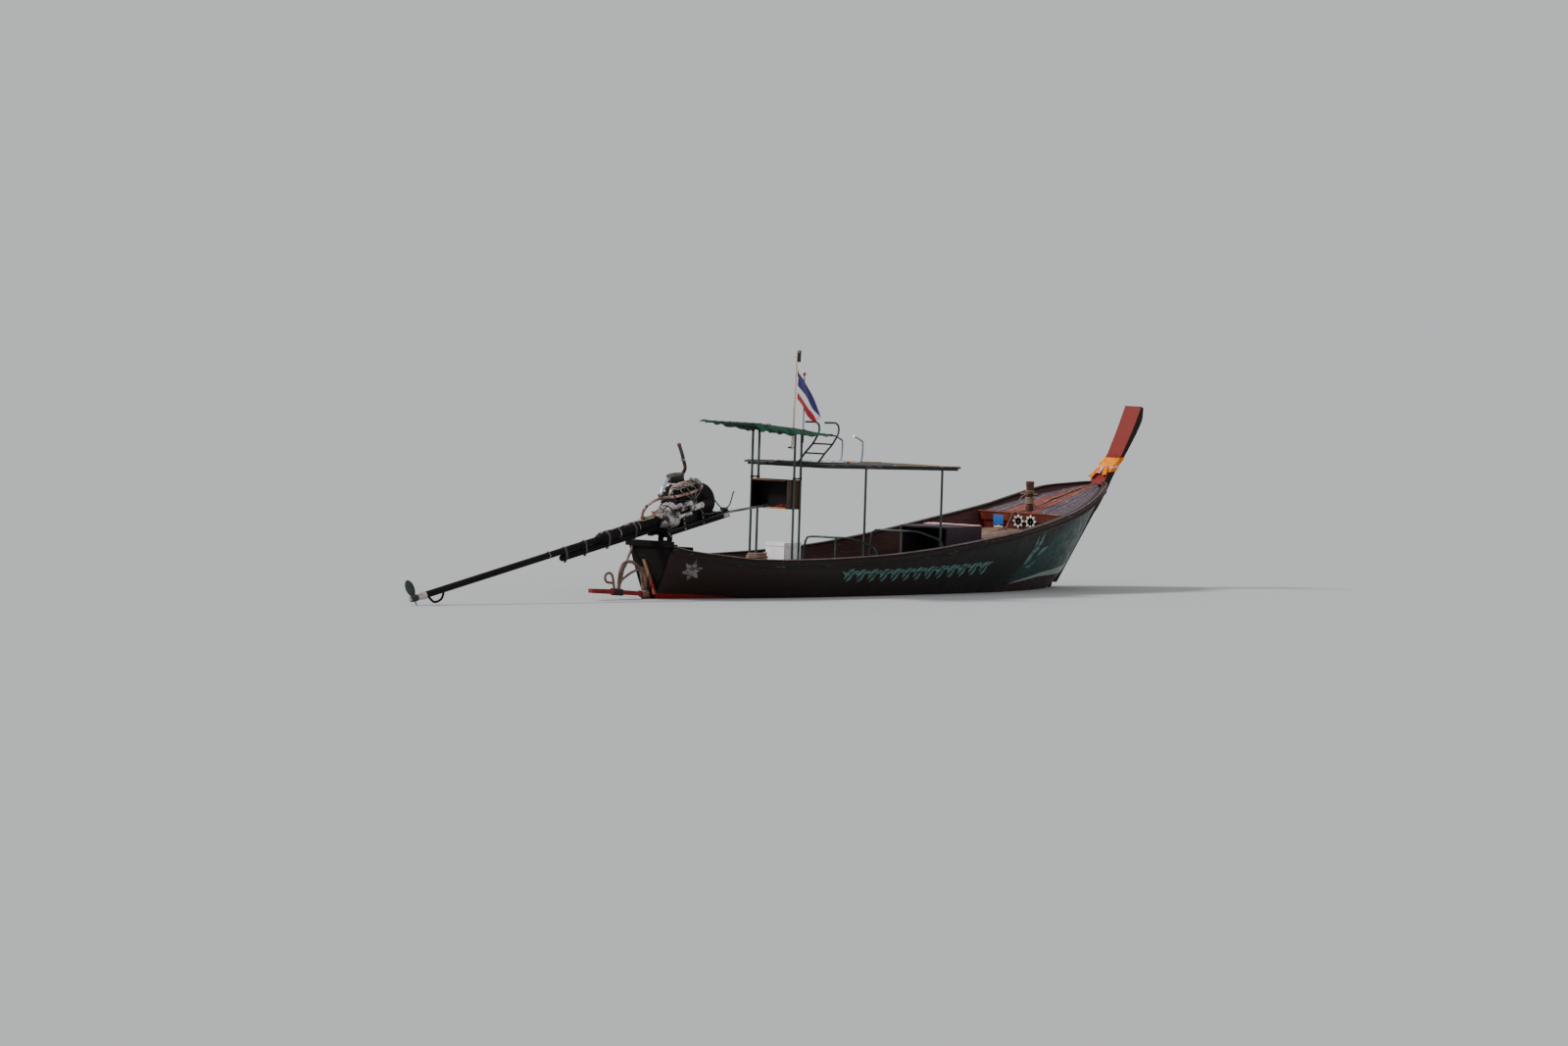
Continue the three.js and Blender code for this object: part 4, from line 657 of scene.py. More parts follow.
# Bulkhead: upright boards in red-brown varnish under a lighter cap, with an orange-brown moulding
# nailed along its top. A bare blue plate and two white rosettes of thin board are nailed on.
varnish_red = timber("red_brown_varnish", "#7a2413", "#3f0e08", "#9a4a2c", axis="Z", board=0.15,
    wear=0.2, gloss=0.3)
varnish_orange = timber("orange_brown_varnish", "#8f4a20", "#54270f", "#b57a4c", axis="Y",
    gloss=0.3)
dress("bulkhead", varnish_red)
CAP_AFT, CAP_HALF, CAP_Z = 2.935, 0.905, (1.145, 1.168)
moulding = [bar((CAP_AFT - 0.014, -CAP_HALF, CAP_Z[0]), (CAP_AFT - 0.0005, CAP_HALF, CAP_Z[1]),
        0.006)]
build("bulkhead_moulding", moulding, varnish_orange)

plate_blue, add = finish_of("painted_tin_plate")
place = add("TexCoord", out="Object")
dust = add("TexNoise", {"Vector": place, "Scale": 30, "Detail": 5})
base = add("Mix", {0: dust, 6: "#1c4f9c", 7: "#3c78bd"})
rough = add("MapRange", {0: dust, 3: 0.25, 4: 0.5})
add("BsdfPrincipled", {"Base Color": base, "Roughness": rough})
white_paint = timber("white_brushed_paint", "#e9e6e2", "#b5aca6", "#8a5a44", wear=0.2, gloss=0.45,
    coarse=2.0)
PLATE_Y, PLATE_Z, ROSETTES_Y, ROSETTE_Z = 0.485, 1.03, (0.092, -0.151), 1.03
PLATE_AFT, PLATE_FORE, BOARDS_AFT, ROSETTE_X = 2.9305, 2.9345, 2.9648, 2.9325
# From corner to corner across the plate and its strip and stub, with the eased arris and finish.
plates = [((PLATE_AFT, -0.1, -0.078), (PLATE_FORE, 0.1, 0.082), 0.0015, 0),
    ((PLATE_AFT, -0.09, -0.115), (PLATE_FORE, 0.09, -0.093), 0.0015, 1),
    ((PLATE_FORE, -0.02, -0.11), (BOARDS_AFT, 0.02, -0.03), 0.002, 1)]
middle = array([0, PLATE_Y, PLATE_Z])
build("bare_plate", [(bar(low + middle, high + middle, ease), which)
        for low, high, ease, which in plates], [plate_blue, white_paint])


def petal(middle, turn, length, width):
    """A flat petal on the bulkhead: length s along its angle, width the sine of s."""
    s, w = linspace(0.08, 1, 17)[:, None], linspace(-1, 1, 5)
    along, up = s * length, 0.5 * width * sin(pi * s ** 0.7) * w
    y = middle[0] + along * cos(turn) - up * sin(turn)
    z = middle[1] + along * sin(turn) + up * cos(turn)
    return xyz(ROSETTE_X, y, z)


rosettes = build("white_rosettes", [(petal((y, ROSETTE_Z), k * pi / 4, 0.116, 0.072), 0, False,
        False) for y in ROSETTES_Y for k in range(8)], white_paint, closed=False)
thicken(rosettes, "thin_board", 0.003)


# Ropes: three strands laid up right-handed, frayed and sun-bleached. A rope's outline has three
# lobes that turn once in a lay, carried along a smooth path.
def run_of(path):
    """Running length along a path at each of its points."""
    return np.r_[0, np.cumsum(steps(path))]


def smooth_path(points, spacing=0.02):
    """Catmull-Rom curve through the points, sampled again at even steps of its own length."""
    points = np.asarray(points, float)
    ends = np.vstack([2 * points[0] - points[1], points, 2 * points[-1] - points[-2]])
    t = linspace(0, 1, 40, endpoint=False)[:, None]
    p0, p1, p2, p3 = (ends[k:len(ends) - 3 + k][:, None] for k in range(4))
    curve = 0.5 * (2 * p1 + (p2 - p0) * t + (2 * p0 - 5 * p1 + 4 * p2 - p3) * t ** 2
        + (3 * p1 - p0 - 3 * p2 + p3) * t ** 3).reshape(-1, 3)
    curve = np.vstack([curve, points[-1]])
    run = run_of(curve)
    even = linspace(0, run[-1], max(3, int(run[-1] / spacing) + 1))
    return np.stack([interp(even, run, curve[:, k]) for k in range(3)], -1)


def circle(count):
    """Angles of a full turn in even steps."""
    return linspace(0, 2 * pi, count, endpoint=False)


def tube(path, radius, sides=12, lay=0.0):
    """A circle carried along a path, kept from twisting: each frame is the last one turned by the
    path's own bend. With a lay it is a rope: the radius is r (0.8 + 0.2 |cos 1.5 a|), where the
    angle a turns once in a lay."""
    path = np.asarray(path, float)
    step = np.gradient(path, axis=0)
    step /= np.linalg.norm(step, axis=1)[:, None] + 1e-12
    side_way = np.cross(step[0], (0, 0, 1) if abs(step[0][2]) < 0.9 else (1, 0, 0))
    frames = []
    for one in step:
        side_way = side_way - one * (side_way @ one)
        side_way = side_way / np.linalg.norm(side_way)
        frames.append(side_way)
    frames = array(frames)
    third = np.cross(step, frames)
    angle = circle(sides)
    radius = np.broadcast_to(np.asarray(radius, float), (len(path),))[:, None]
    if lay:
        lobe = np.abs(cos(1.5 * (angle - 2 * pi * run_of(path)[:, None] / lay)))
        radius = radius * (0.8 + 0.2 * lobe)
    return (path[:, None] + (radius * cos(angle))[..., None] * frames[:, None]
        + (radius * sin(angle))[..., None] * third[:, None])


def rope_finish(name, pale, dark):
    """Laid rope: fibres are fine noise stretched along the length, dirt is broad noise."""
    made, add = finish_of(name)
    run = add("UVMap", uv_map="UVMap")
    place = add("TexCoord", out="Object")
    fibre = add("Mapping", {"Vector": run, "Scale": (60, 400, 1), "Rotation": (0, 0, 0.5)})
    fibre = add("TexNoise", {"Vector": fibre, "Scale": 1, "Detail": 4})
    dirt = add("TexNoise", {"Vector": place, "Scale": 7, "Detail": 4})
    mixed = add("Math", {0: fibre, 1: dirt}, operation="MULTIPLY")
    tone = add("MapRange", {0: mixed, 1: 0.12, 2: 0.38})
    base = add("Mix", {0: tone, 6: dark, 7: pale})
    bump = add("Bump", {"Height": fibre, "Strength": 0.7, "Distance": 0.002})
    add("BsdfPrincipled", {"Base Color": base, "Roughness": 0.92, "Normal": bump,
            "Sheen Weight": 0.15})
    return made


old_rope = rope_finish("old_hemp_rope", "#b39a84", "#4c3428")
rosy_rope = rope_finish("faded_pink_rope", "#a98472", "#4a2c24")


def lay_rope(name, points, diameter, finish,
        replaced=(), spacing=0.012):
    """Makes one rope through the points and works out its real length."""
    path = smooth_path(points, spacing)
    piece = build(name, [tube(path, diameter / 2, 12, diameter * 3.2)], finish, replaced)
    float(run_of(path)[-1])


# Mooring post: a turned hardwood bitt through the foredeck, waisted by years of rope, with a
# crossbar. Old turns of rope sit under the bar; one tail runs along the deck to the stem.
post_wood = timber("oiled_post", "#6a3517", "#2c1309", "#9a6a44", axis="Z", wear=0.4, gloss=0.5)
POST_X, POST_FOOT, POST_TOP, BAR_Z, BAR_HALF = 3.085, 1.185, 1.652, 1.45, 0.17
post_profile = array([[POST_FOOT, 0.058], [1.27, 0.058], [1.3, 0.05], [1.42, 0.05], [1.47, 0.054],
        [1.56, 0.06], [1.62, 0.066], [1.642, 0.066], [POST_TOP, 0.056]])
level = linspace(POST_FOOT, POST_TOP, 60)
girth = between(level, post_profile[:, 0], post_profile[:, 1])
upright_path = xyz(POST_X, 0, level)
bar_y = array([-BAR_HALF, -BAR_HALF + 0.006, BAR_HALF - 0.006, BAR_HALF])
bar_path = xyz(POST_X, bar_y, BAR_Z)
build("turned_post", [tube(upright_path, girth, 28),
        tube(bar_path, [0.016, 0.022, 0.022, 0.016], 16)],
    post_wood, "mooring_post")

TURN_R, TURN_D, TURNS = 0.0645, 0.019, 5
around = linspace(0, TURNS * 2 * pi, TURNS * 14)
turns = xyz(POST_X + TURN_R * cos(around), TURN_R * sin(around),
    1.405 - 0.0205 * around / (2 * pi))
tail_x = array([3.21, 3.32, 3.5, 3.75, 4.0, 4.25, 4.42])
tail_y = array([0.02, 0.05, 0.03, 0.07, 0.04, 0.06, 0.03])
tail_z = interp(tail_x, DECK_X, DECK_Z) + 0.017
tail_z[0] += 0.05
lay_rope("post_rope", np.vstack([turns, xyz(tail_x, tail_y, tail_z)]), TURN_D, old_rope)
around = linspace(3.6 + 4.4 * pi, 3.6, 36)
upper = xyz(POST_X + 0.069 * cos(around), 0.069 * sin(around),
    1.465 + 0.0185 * (around - 3.6) / (2 * pi))
hanging = array([[2.985, 0.085, 1.4], [2.925, 0.13, 1.27], [2.899, 0.16, 1.185], [2.885, 0.2, 1.1],
        [2.878, 0.24, 1.0], [2.87, 0.27, 0.935], [2.83, 0.3, 0.918], [2.74, 0.33, 0.91],
        [2.66, 0.28, 0.902], [2.7, 0.2, 0.906], [2.79, 0.18, 0.914]])
lay_rope("post_lanyard", np.vstack([upper, hanging]), 0.016, old_rope)


# Garland: three lengths of cotton wound round the stem and knotted behind, orange over a white
# and pink one, orange again below. Each is one cloth in close folds, with its tails hanging.
def cotton(name, colour, dark, second=None, sheen=0.1):
    """Plain-woven cotton in folds: thread waves of 4 mm, drawn coarse enough to show, over dye
    that has faded in patches; a second colour fills alternate folds."""
    made, add = finish_of(name)
    place = add("TexCoord", out="Object")
    run = add("UVMap", uv_map="UVMap")
    weft, warp = (add("TexWave", {"Vector": run, "Scale": 80, "Distortion": 1}, 1,
            bands_direction=way) for way in "XY")
    weave = add("Math", {0: weft, 1: warp}, operation="MULTIPLY")
    faded = add("TexNoise", {"Vector": place, "Scale": 11, "Detail": 4})
    tone = add("MapRange", {0: faded, 1: 0.35, 2: 0.62})
    base = add("Mix", {0: tone, 6: dark, 7: colour})
    if second:
        fold = add("TexNoise", {"Vector": place, "Scale": 26, "Detail": 1})
        fold = add("MapRange", {0: fold, 1: 0.49, 2: 0.53})
        base = add("Mix", {0: fold, 6: base, 7: second})
    bump = add("Bump", {"Height": weave, "Strength": 0.3, "Distance": 0.001})
    add("BsdfPrincipled", {"Base Color": base, "Roughness": 0.85, "Sheen Weight": sheen,
            "Specular IOR Level": 0.2, "Normal": bump})
    return made


orange_cotton = cotton("orange_cotton", "#ffa100", "#e06c00", sheen=0.0)
white_cotton = cotton("white_and_pink_cotton", "#f3e7e4", "#d9a7ad", "#d9577a")


def wound(first, last, swell, folds):
    """A cloth wound round the stem from one place to another: the stem's ring grown by a hump, by
    slanting folds a few millimetres deep, and by one slow turn of slack."""
    place = linspace(first, last, 34)
    t = linspace(0, 1, 34)[:, None]
    ring = stem_rings(place, 0.004, columns=24)
    core = stem_rings(place, columns=24)
    out_way = ring - core
    out_way /= np.linalg.norm(out_way, axis=-1)[..., None]
    angle = circle(ring.shape[1])
    hump = swell * sin(pi * (0.08 + 0.84 * t)) ** 0.6
    fold = 0.0055 * sin(2 * pi * folds * t + 1.5 * sin(angle) + 0.6 * sin(3 * angle))
    slack = 0.004 * sin(2 * angle + 3 * t)
    return core + out_way * (0.003 + hump + (fold + slack) * sin(pi * t))[..., None]


def band_area(grid, round_too=True):
    """Area of a grid of points, as the sum of its quads' cross products."""
    if round_too:
        grid = np.concatenate([grid, grid[:, :1]], 1)
    a, b = grid[1:, 1:] - grid[:-1, :-1], grid[:-1, 1:] - grid[1:, :-1]
    return float(np.linalg.norm(np.cross(a, b), axis=-1).sum() / 2)


def cut_size(grid):
    """Breadth and length of the cloth that an open grid is cut from."""
    long = float(steps(grid).sum(0).mean())
    return band_area(grid, False) / long, long


SASHES = [("sash_low", 5.26, 5.72, 0.01, 2.6, orange_cotton, ["garland"]),
    ("sash_pale", 5.68, 6.04, 0.012, 2.2, white_cotton, []),
    ("sash_high", 5.98, 6.76, 0.017, 4.2, orange_cotton, [])]
for name, first, last, swell, folds, cloth, gone in SASHES:
    grid = wound(first, last, swell, folds)
    sash = build(name, [(grid, 0, True, False)], cloth, gone, closed=False)
    thicken(sash, "cloth", 0.002)
    girth = float(steps(np.concatenate([grid, grid[:, :1]], 1), 1).sum(1).mean())
    band_area(grid) / girth
for name, y0, drop, lean, cloth in (("sash_tail_left", 0.05, 0.26, 0.03, orange_cotton),
        ("sash_tail_right", -0.05, 0.2, -0.02, orange_cotton),
        ("sash_tail_pale", 0.0, 0.17, 0.01, white_cotton)):
    t, w = linspace(0, 1, 26)[:, None], linspace(-1, 1, 15)
    face = stem_rings(6.0 - t[:, 0] * drop * 6)[:, 27]
    wide = 0.022 + 0.03 * t ** 0.7
    y = y0 + lean * t * 3 + wide * w
    away = 0.022 + 0.016 * t + 0.008 * sin(2.6 * pi * w + 4 * t) * t ** 0.5
    grid = xyz(face[:, None, 0] - away, y, face[:, None, 2] + away * 0.5)
    strip = build(name, [(grid, 0, False, False)], cloth, closed=False)
    thicken(strip, "cloth", 0.002)
    cut_size(grid)


# Stern gear: the slanting board over the transom, and old rope hoops that keep the tail's lines
# clear of the plank, seized to it with tarred turns.
brace_paint = timber("brace_bare_above_red_below", "#a98467", "#5f4132", "#d0b292", axis="Z",
    wear=0.4, gloss=0.7, region=(2, 0.3, 0.24, "#8e2016"), shine=0.3)
dress("stern_board", brace_paint)
tarred_rope = rope_finish("tarred_rope", "#3b322c", "#120e0c")
brown_rope = rope_finish("oily_brown_rope", "#8f6f60", "#2a1c18")
# Name, diameter, y (one where the hoop is flat), and x and z of its points.
HOOPS = [("great", 0.054, 0, [(-6.575, 0.158), (-6.567, 0.298), (-6.544, 0.417), (-6.493, 0.507),
        (-6.411, 0.547), (-6.3, 0.546), (-6.2, 0.504), (-6.114, 0.437), (-6.069, 0.363),
        (-6.036, 0.23), (-6.032, 0.15), (-6.032, 0.112)]),
    ("inner", 0.046, 0.004, [(-6.108, 0.452), (-6.02, 0.424), (-5.972, 0.324), (-5.966, 0.241),
        (-5.975, 0.165), (-5.981, 0.125), (-5.981, 0.108)]),
    ("low", 0.04, -0.005, [(-6.127, 0.438), (-6.294, 0.394), (-6.429, 0.332), (-6.51, 0.285),
        (-6.552, 0.22), (-6.562, 0.152)]),
    ("side", 0.04, [0.32, 0.32, 0.3, 0.18, 0.05, 0, 0, 0], [(-5.925, 0.766), (-5.93, 0.74),
        (-5.962, 0.705), (-6.164, 0.622), (-6.366, 0.512), (-6.475, 0.443), (-6.514, 0.333),
        (-6.56, 0.258)]),
    ("curl", 0.04, 0, [(-6.67, 0.165), (-6.69, 0.25), (-6.72, 0.35), (-6.78, 0.392),
        (-6.86, 0.372), (-6.882, 0.315), (-6.84, 0.262), (-6.76, 0.248), (-6.7, 0.238),
        (-6.672, 0.176)])]
for name, diameter, y, route in HOOPS:
    x, z = zip(*route)
    lay_rope(f"hoop_{name}", xyz(x, y, z), diameter, brown_rope,
        replaced="stern_hoops" if name == "great" else ())


def seizing(name, x0, x1, turns, diameter, finish):
    """Turns of rope round the tail plank: a rounded box of the plank's own height at each x,
    followed by one path that steps forward by a rope's width in each turn."""
    angle = linspace(0, 2 * pi * turns, turns * 32 + 1)
    x = linspace(x0, x1, len(angle))
    top = interp(x, [-7.2, -6.7, -6.06], [0.17, 0.152, 0.108])
    low = interp(x, [-7.2, -6.06], [0.108, 0.045])
    reach = diameter / 2 + 0.004
    c, s = cos(angle), sin(angle)
    y = (0.04 + reach) * np.sign(c) * np.abs(c) ** 0.45
    z = (top + low) / 2 + ((top - low) / 2 + reach) * np.sign(s) * np.abs(s) ** 0.45
    lay_rope(name, xyz(x, y, z), diameter, finish, spacing=0.008)


seizing("seizing_aft", -6.7, -6.52, 13, 0.0135, tarred_rope)
seizing("seizing_fore", -6.078, -5.955, 8, 0.0145, old_rope)


# Painted steel tube: enamel over mild steel, matt with salt, with rust that starts in spots.
def enamel(name, colour, dark, rust_share=0.35, metallic=0.0, roughness=0.45, rust="#6e3a1e",
        scale=18.0, specular=0.5):
    """Paint or bare metal with rust: rust is noise past a threshold, grime is broad noise, and
    both make the surface rougher; metallic falls to nothing where it has rusted."""
    made, add = finish_of(name)
    place = add("TexCoord", out="Object")
    spots = add("TexNoise", {"Vector": place, "Scale": scale, "Detail": 8, "Roughness": 0.7})
    grime = add("TexNoise", {"Vector": place, "Scale": 4, "Detail": 4})
    tone = add("MapRange", {0: grime, 1: 0.35, 2: 0.65})
    base = add("Mix", {0: tone, 6: dark, 7: colour})
    level_of = 0.72 - rust_share * 0.3
    rusted = add("MapRange", {0: spots, 1: level_of, 2: level_of + 0.05})
    base = add("Mix", {0: rusted, 6: base, 7: rust})
    rough = add("MapRange", {0: spots, 1: 0.3, 2: 0.7, 3: roughness, 4: min(1.0, roughness + 0.3)})
    shine = add("MapRange", {0: rusted, 3: metallic, 4: 0})
    bump = add("Bump", {"Height": spots, "Strength": 0.35, "Distance": 0.002})
    add("BsdfPrincipled", {"Base Color": base, "Metallic": shine, "Specular IOR Level": specular,
            "Roughness": rough, "Normal": bump})
    return made


# Helm frame: four posts of painted tube with their top bars, in the model's solids, with the
# joints bound in twine where the tubes cross.
post_enamel = enamel("grey_green_enamel_on_tube", "#3d514b", "#26332f", rust_share=0.3)
green_enamel = enamel("dark_green_enamel_on_tube", "#1c4a40", "#12302b", rust_share=0.2)
chromed_steel = enamel("chromed_tube", "#c9cdd2", "#8f959b", rust_share=0.15, metallic=1.0,
    roughness=0.18)
dress("helm_frame roof_frame backrest_aft backrest_forward", post_enamel)
dress("ladder_green", green_enamel)
dress("ladder_chrome", chromed_steel)
HELM_X, HELM_Y, TOP_X, TOP_Z = (-3.135, -2.985), 0.414, (-3.98, -2.5), (2.575, 2.415)


def top_bar(x):
    """Height of the canopy bars' line at x."""
    return interp(x, [-4.2, *TOP_X, -2.3], [2.5988, *TOP_Z, 2.3934])


bindings = []
for x in HELM_X:
    for y in (-HELM_Y, HELM_Y):
        for z in (1.76, float(top_bar(x)) - 0.03):
            turn = linspace(0, 10 * pi, 90)
            bindings.append(tube(xyz(x + 0.0215 * cos(turn), y + 0.0215 * sin(turn),
                    z - 0.017 + 0.0011 * turn), 0.0033, 6))
build("tube_bindings", bindings, tarred_rope)


# Canopy: one cloth laced over the bars, dark green and sun-bleached in patches. It lies on the
# side bars with its slack in a low ridge, and its free edges droop past them, most to starboard.
canopy_cloth = cotton("green_canvas", "#0b5033", "#04241b", sheen=0.03)
POLE_Y, ROD_Y = -0.4433, -0.4413
CANOPY_X, CANOPY_Y, POLE_HOLES = (-4.126, -2.42), 0.65, ((-3.226, POLE_Y), (-2.987, ROD_Y))
cx = linspace(*CANOPY_X, 110)[:, None]
cy = linspace(-CANOPY_Y, CANOPY_Y, 84)
inboard = clip(1 - (np.abs(cy) / HELM_Y) ** 2, 0, 1)
outboard = clip((np.abs(cy) - HELM_Y) / (CANOPY_Y - HELM_Y), 0, 1)
held_by = clip(np.minimum(cx - TOP_X[0], TOP_X[1] - cx) / 0.74, 0, 1)
past = clip(np.maximum(TOP_X[0] - cx, cx - TOP_X[1]), 0, 1)
hang = np.where(cy < 0, interp(cx, [-4.126, -3.5, -2.73, -2.42], [0.115, 0.12, 0.05, 0.01]),
    0.05 * held_by ** 0.7)
ripple = (0.0035 * sin(cx * 34 + 2.2 * sin(cy * 5)) * (0.25 + outboard)
    + 0.014 * outboard * sin(cx * 17 + 1.3 * sin(cx * 7)))
ridge = 0.04 * np.exp(-((cx + 3.1) / 0.42) ** 2) * clip(1 - (cy / 0.5) ** 2, 0, 1)
cz = (top_bar(cx) + 0.0185 - 0.014 * inboard * np.sqrt(held_by) + ridge - hang * outboard ** 1.3
    - 1.1 * past ** 2 + ripple)
canopy_grid = xyz(cx, cy * (1 - 0.6 * hang * outboard ** 2), cz)
canopy = build("canopy_cloth", [(canopy_grid, 0, False, False)], canopy_cloth,
    "helm_canopy", closed=False)
trimmed = bmesh.new()
trimmed.from_mesh(canopy.data)
for hole_x, hole_y in POLE_HOLES:
    near = [v for v in trimmed.verts if math.hypot(v.co.x - hole_x, v.co.y - hole_y) < 0.024]
    bmesh.ops.delete(trimmed, geom=near, context="VERTS")
trimmed.to_mesh(canopy.data)
trimmed.free()
thicken(canopy, "cloth", 0.003)
cut_size(canopy_grid)
ring, section = circle(28), circle(8)[None, :, None]
grommets = []
for hole_x, hole_y in POLE_HOLES:
    core = xyz(hole_x + 0.028 * cos(ring), hole_y + 0.028 * sin(ring),
        float(top_bar(hole_x)) + 0.026)
    out_way = (core - [hole_x, hole_y, core[0, 2]]) / 0.028
    rim = core[:, None] + 0.006 * (cos(section) * out_way[:, None] + sin(section) * (0, 0, 1))
    grommets.append((np.concatenate([rim, rim[:1]]), 0, True, False))
lacing = []
for end_x in TOP_X:
    for y in linspace(-0.6, 0.6, 9):
        turn = linspace(0, 2 * pi, 17)
        lacing.append(tube(xyz(end_x + 0.0225 * cos(turn), y + 0.004 * turn,
                float(top_bar(end_x)) + 0.004 + 0.0225 * sin(turn)), 0.003, 6))
build("canopy_lacing", lacing + grommets, tarred_rope, closed=False)


# Flagpole: a varnished ash pole lashed to the frame, with a dark lantern under a green cap and
# two short white arms near its head. Beside it stands a thin steel rod with a red ball.
ash_pole = timber("varnished_ash_pole", "#f3e2d3", "#c4a78d", "#fbf3ea", axis="Z", wear=0.4,
    gloss=0.4)
red_enamel = enamel("red_enamel", "#c0241c", "#8a130e", rust_share=0.0, roughness=0.3)
white_enamel = enamel("white_enamel", "#e6e4de", "#bdb8ae", rust_share=0.1, roughness=0.35)
green_cap = enamel("green_enamel", "#2f8a57", "#1a5a38", rust_share=0.1, roughness=0.35)
dark_lens = enamel("smoked_lens", "#1b1d20", "#0c0d0f", rust_share=0.0, roughness=0.12)
ROD_X, BALL_Z, BALL_R = -3.0, 3.327, 0.026
POLE_FOOT, POLE_HEAD = array([-3.236, POLE_Y, 2.2]), array([-3.194, POLE_Y, 3.69])


def on_pole(z):
    """Point of the pole's leaning middle line at height z."""
    share = (np.asarray(z, float) - POLE_FOOT[2]) / (POLE_HEAD[2] - POLE_FOOT[2])
    return POLE_FOOT + (POLE_HEAD - POLE_FOOT) * share[..., None]


lamp_z = array([3.505, 3.51, 3.523, 3.524, 3.64, 3.641, 3.656, 3.68, 3.69])
lamp_r = array([0.016, 0.027, 0.027, 0.025, 0.025, 0.031, 0.031, 0.02, 0.004])
arms = [(tube(on_pole(3.585) + [[-0.078, 0, 0], [-0.076, 0, 0], [0, 0, 0]],
        [0.004, 0.006, 0.006], 10), 1),
    (tube(on_pole(3.645) + [[0.02, 0, 0], [0.068, 0, 0], [0.07, 0, 0]],
        [0.006, 0.006, 0.004], 10), 1)]
build("pole", [tube(on_pole([2.2, 2.203, 2.9, 3.5, 3.682, 3.69]),
        [0.014, 0.0185, 0.018, 0.0165, 0.015, 0.01], 18), *arms], [ash_pole, white_enamel],
    "flagpole", edge=60)
shift = array([0.03, -0.028, 0])
build("pole_lantern", [tube([on_pole(3.6), on_pole(3.6) + shift], 0.007, 10),
        tube(on_pole(lamp_z[:6]) + shift, lamp_r[:6], 24), (tube(on_pole(lamp_z[5:]) + shift,
        lamp_r[5:], 24), 1)], [dark_lens, green_cap], edge=30)
rod_line = linspace([-2.985, ROD_Y, 2.3], [ROD_X, ROD_Y, 3.33], 12)
turn = linspace(0.05, pi - 0.05, 15)
ball_line = xyz(ROD_X, ROD_Y, BALL_Z - BALL_R * cos(turn))
build("rod_and_ball", [tube(rod_line, 0.0085, 12), (tube(ball_line, BALL_R * sin(turn), 20), 1)],
    [post_enamel, red_enamel], "signal_rod", edge=60)


# Flag: light polyester in five stripes, drooping from the pole to its fly. Its folds deepen as
# they fall, and its top has turned over behind, more towards the fly, so there the lower white
# stripe comes to the edge.
flag_cloth, add = finish_of("striped_polyester")
share = add("Attribute", out="Fac", attribute_name="width_share")
crease = add("TexNoise", {"Vector": add("TexCoord", out="Object"), "Scale": 14, "Detail": 3})
stripes = add("ValToRGB", {0: share})
ramp = stripes.node.color_ramp
ramp.interpolation = "CONSTANT"
FLAG_STRIPES = [(0.0, "#c21a2c"), (1 / 6, "#ffffff"), (2 / 6, "#2f2a70"), (4 / 6, "#ffffff"),
    (5 / 6, "#c21a2c")]
ramp.elements.remove(ramp.elements[1])
for start, colour in FLAG_STRIPES:
    stop = ramp.elements.new(start) if start else ramp.elements[0]
    stop.color = linear(colour)
# Painted shade: the cloth is up to 8% darker where the crease noise is low, in the hollows of its
# bump.
crease_shade = add("MapRange", {0: crease, 1: 0.3, 2: 0.7, 3: 0.92, 4: 1})
base = add("HueSaturation", {"Color": stripes, "Value": crease_shade})
bump = add("Bump", {"Height": crease, "Strength": 0.3, "Distance": 0.004})
add("BsdfPrincipled", {"Base Color": base, "Roughness": 0.7, "Sheen Weight": 0.3, "Normal": bump})
FLY_AT = [0.0, 0.33, 0.64, 1.0]
FLAG_TOP = [[-3.184, 3.415], [-3.026, 3.214], [-2.871, 3.017], [-2.657, 2.68]]
FLAG_FOOT = [[-3.197, 2.96], [-3.09, 2.865], [-2.955, 2.71], [-2.79, 2.6]]
FOLD_AT = [0.78, 0.66, 0.6, 0.4]
u, v = linspace(0, 1, 96)[:, None], linspace(0, 1, 56)
top, foot = between(u[:, 0], FLY_AT, FLAG_TOP), between(u[:, 0], FLY_AT, FLAG_FOOT)
fold = between(u[:, 0], FLY_AT, FOLD_AT)[:, None]
up_to = np.where(v < fold, v / fold, 1 - 0.85 * (v - fold) / np.maximum(fold, 1 - fold))
behind = 0.016 * clip((v - fold + 0.02) / 0.04, 0, 1)
flat_flag = foot[:, None] * (1 - up_to[..., None]) + top[:, None] * up_to[..., None]
depth = 0.002 + 0.022 * u ** 1.2
folds = depth * (1 + sin(2 * pi * (1.5 * up_to + 0.9 * u) + 0.8))
flag_grid = xyz(flat_flag[..., 0], -0.4755 - folds + behind, flat_flag[..., 1])
flag = build("flag_cloth", [(flag_grid, 0, False, False)], flag_cloth, "flag",
    closed=False)
layer = flag.data.attributes.new("width_share", "FLOAT", "POINT")
layer.data.foreach_set("value", np.broadcast_to(v, (96, 56)).astype(np.float32).ravel())
thicken(flag, "cloth", 0.0015)
cut_size(flag_grid)


# Cabinet: a plywood box between the posts, open aft, stained almost black inside and brown
# outside, with remains of varnished lips round its mouth. A red cloth lies crumpled on its floor.
black_ply = timber("black_stained_plywood", "#130d09", "#080604", "#33210f", axis="Y", wear=0.1,
    gloss=0.6, region=(1, -0.387, -0.394, "#4d3420"), shine=0.2)
lip_wood = timber("varnished_lip", "#e8922e", "#a65f1c", "#f0b469", axis="Y", gloss=0.45)
brown_lip = timber("browned_lip", "#8a5a24", "#4a2f12", "#a87a40", axis="Y", wear=0.2, gloss=0.5)
stile_wood = timber("brown_stile", "#4d3420", "#2c1d11", "#6b4a2c", axis="Z", wear=0.2, gloss=0.5)
dress("cabinet", black_ply)
CAB_X, CAB_HALF, CAB_Z = -3.1703, 0.3957, (1.3, 1.735)
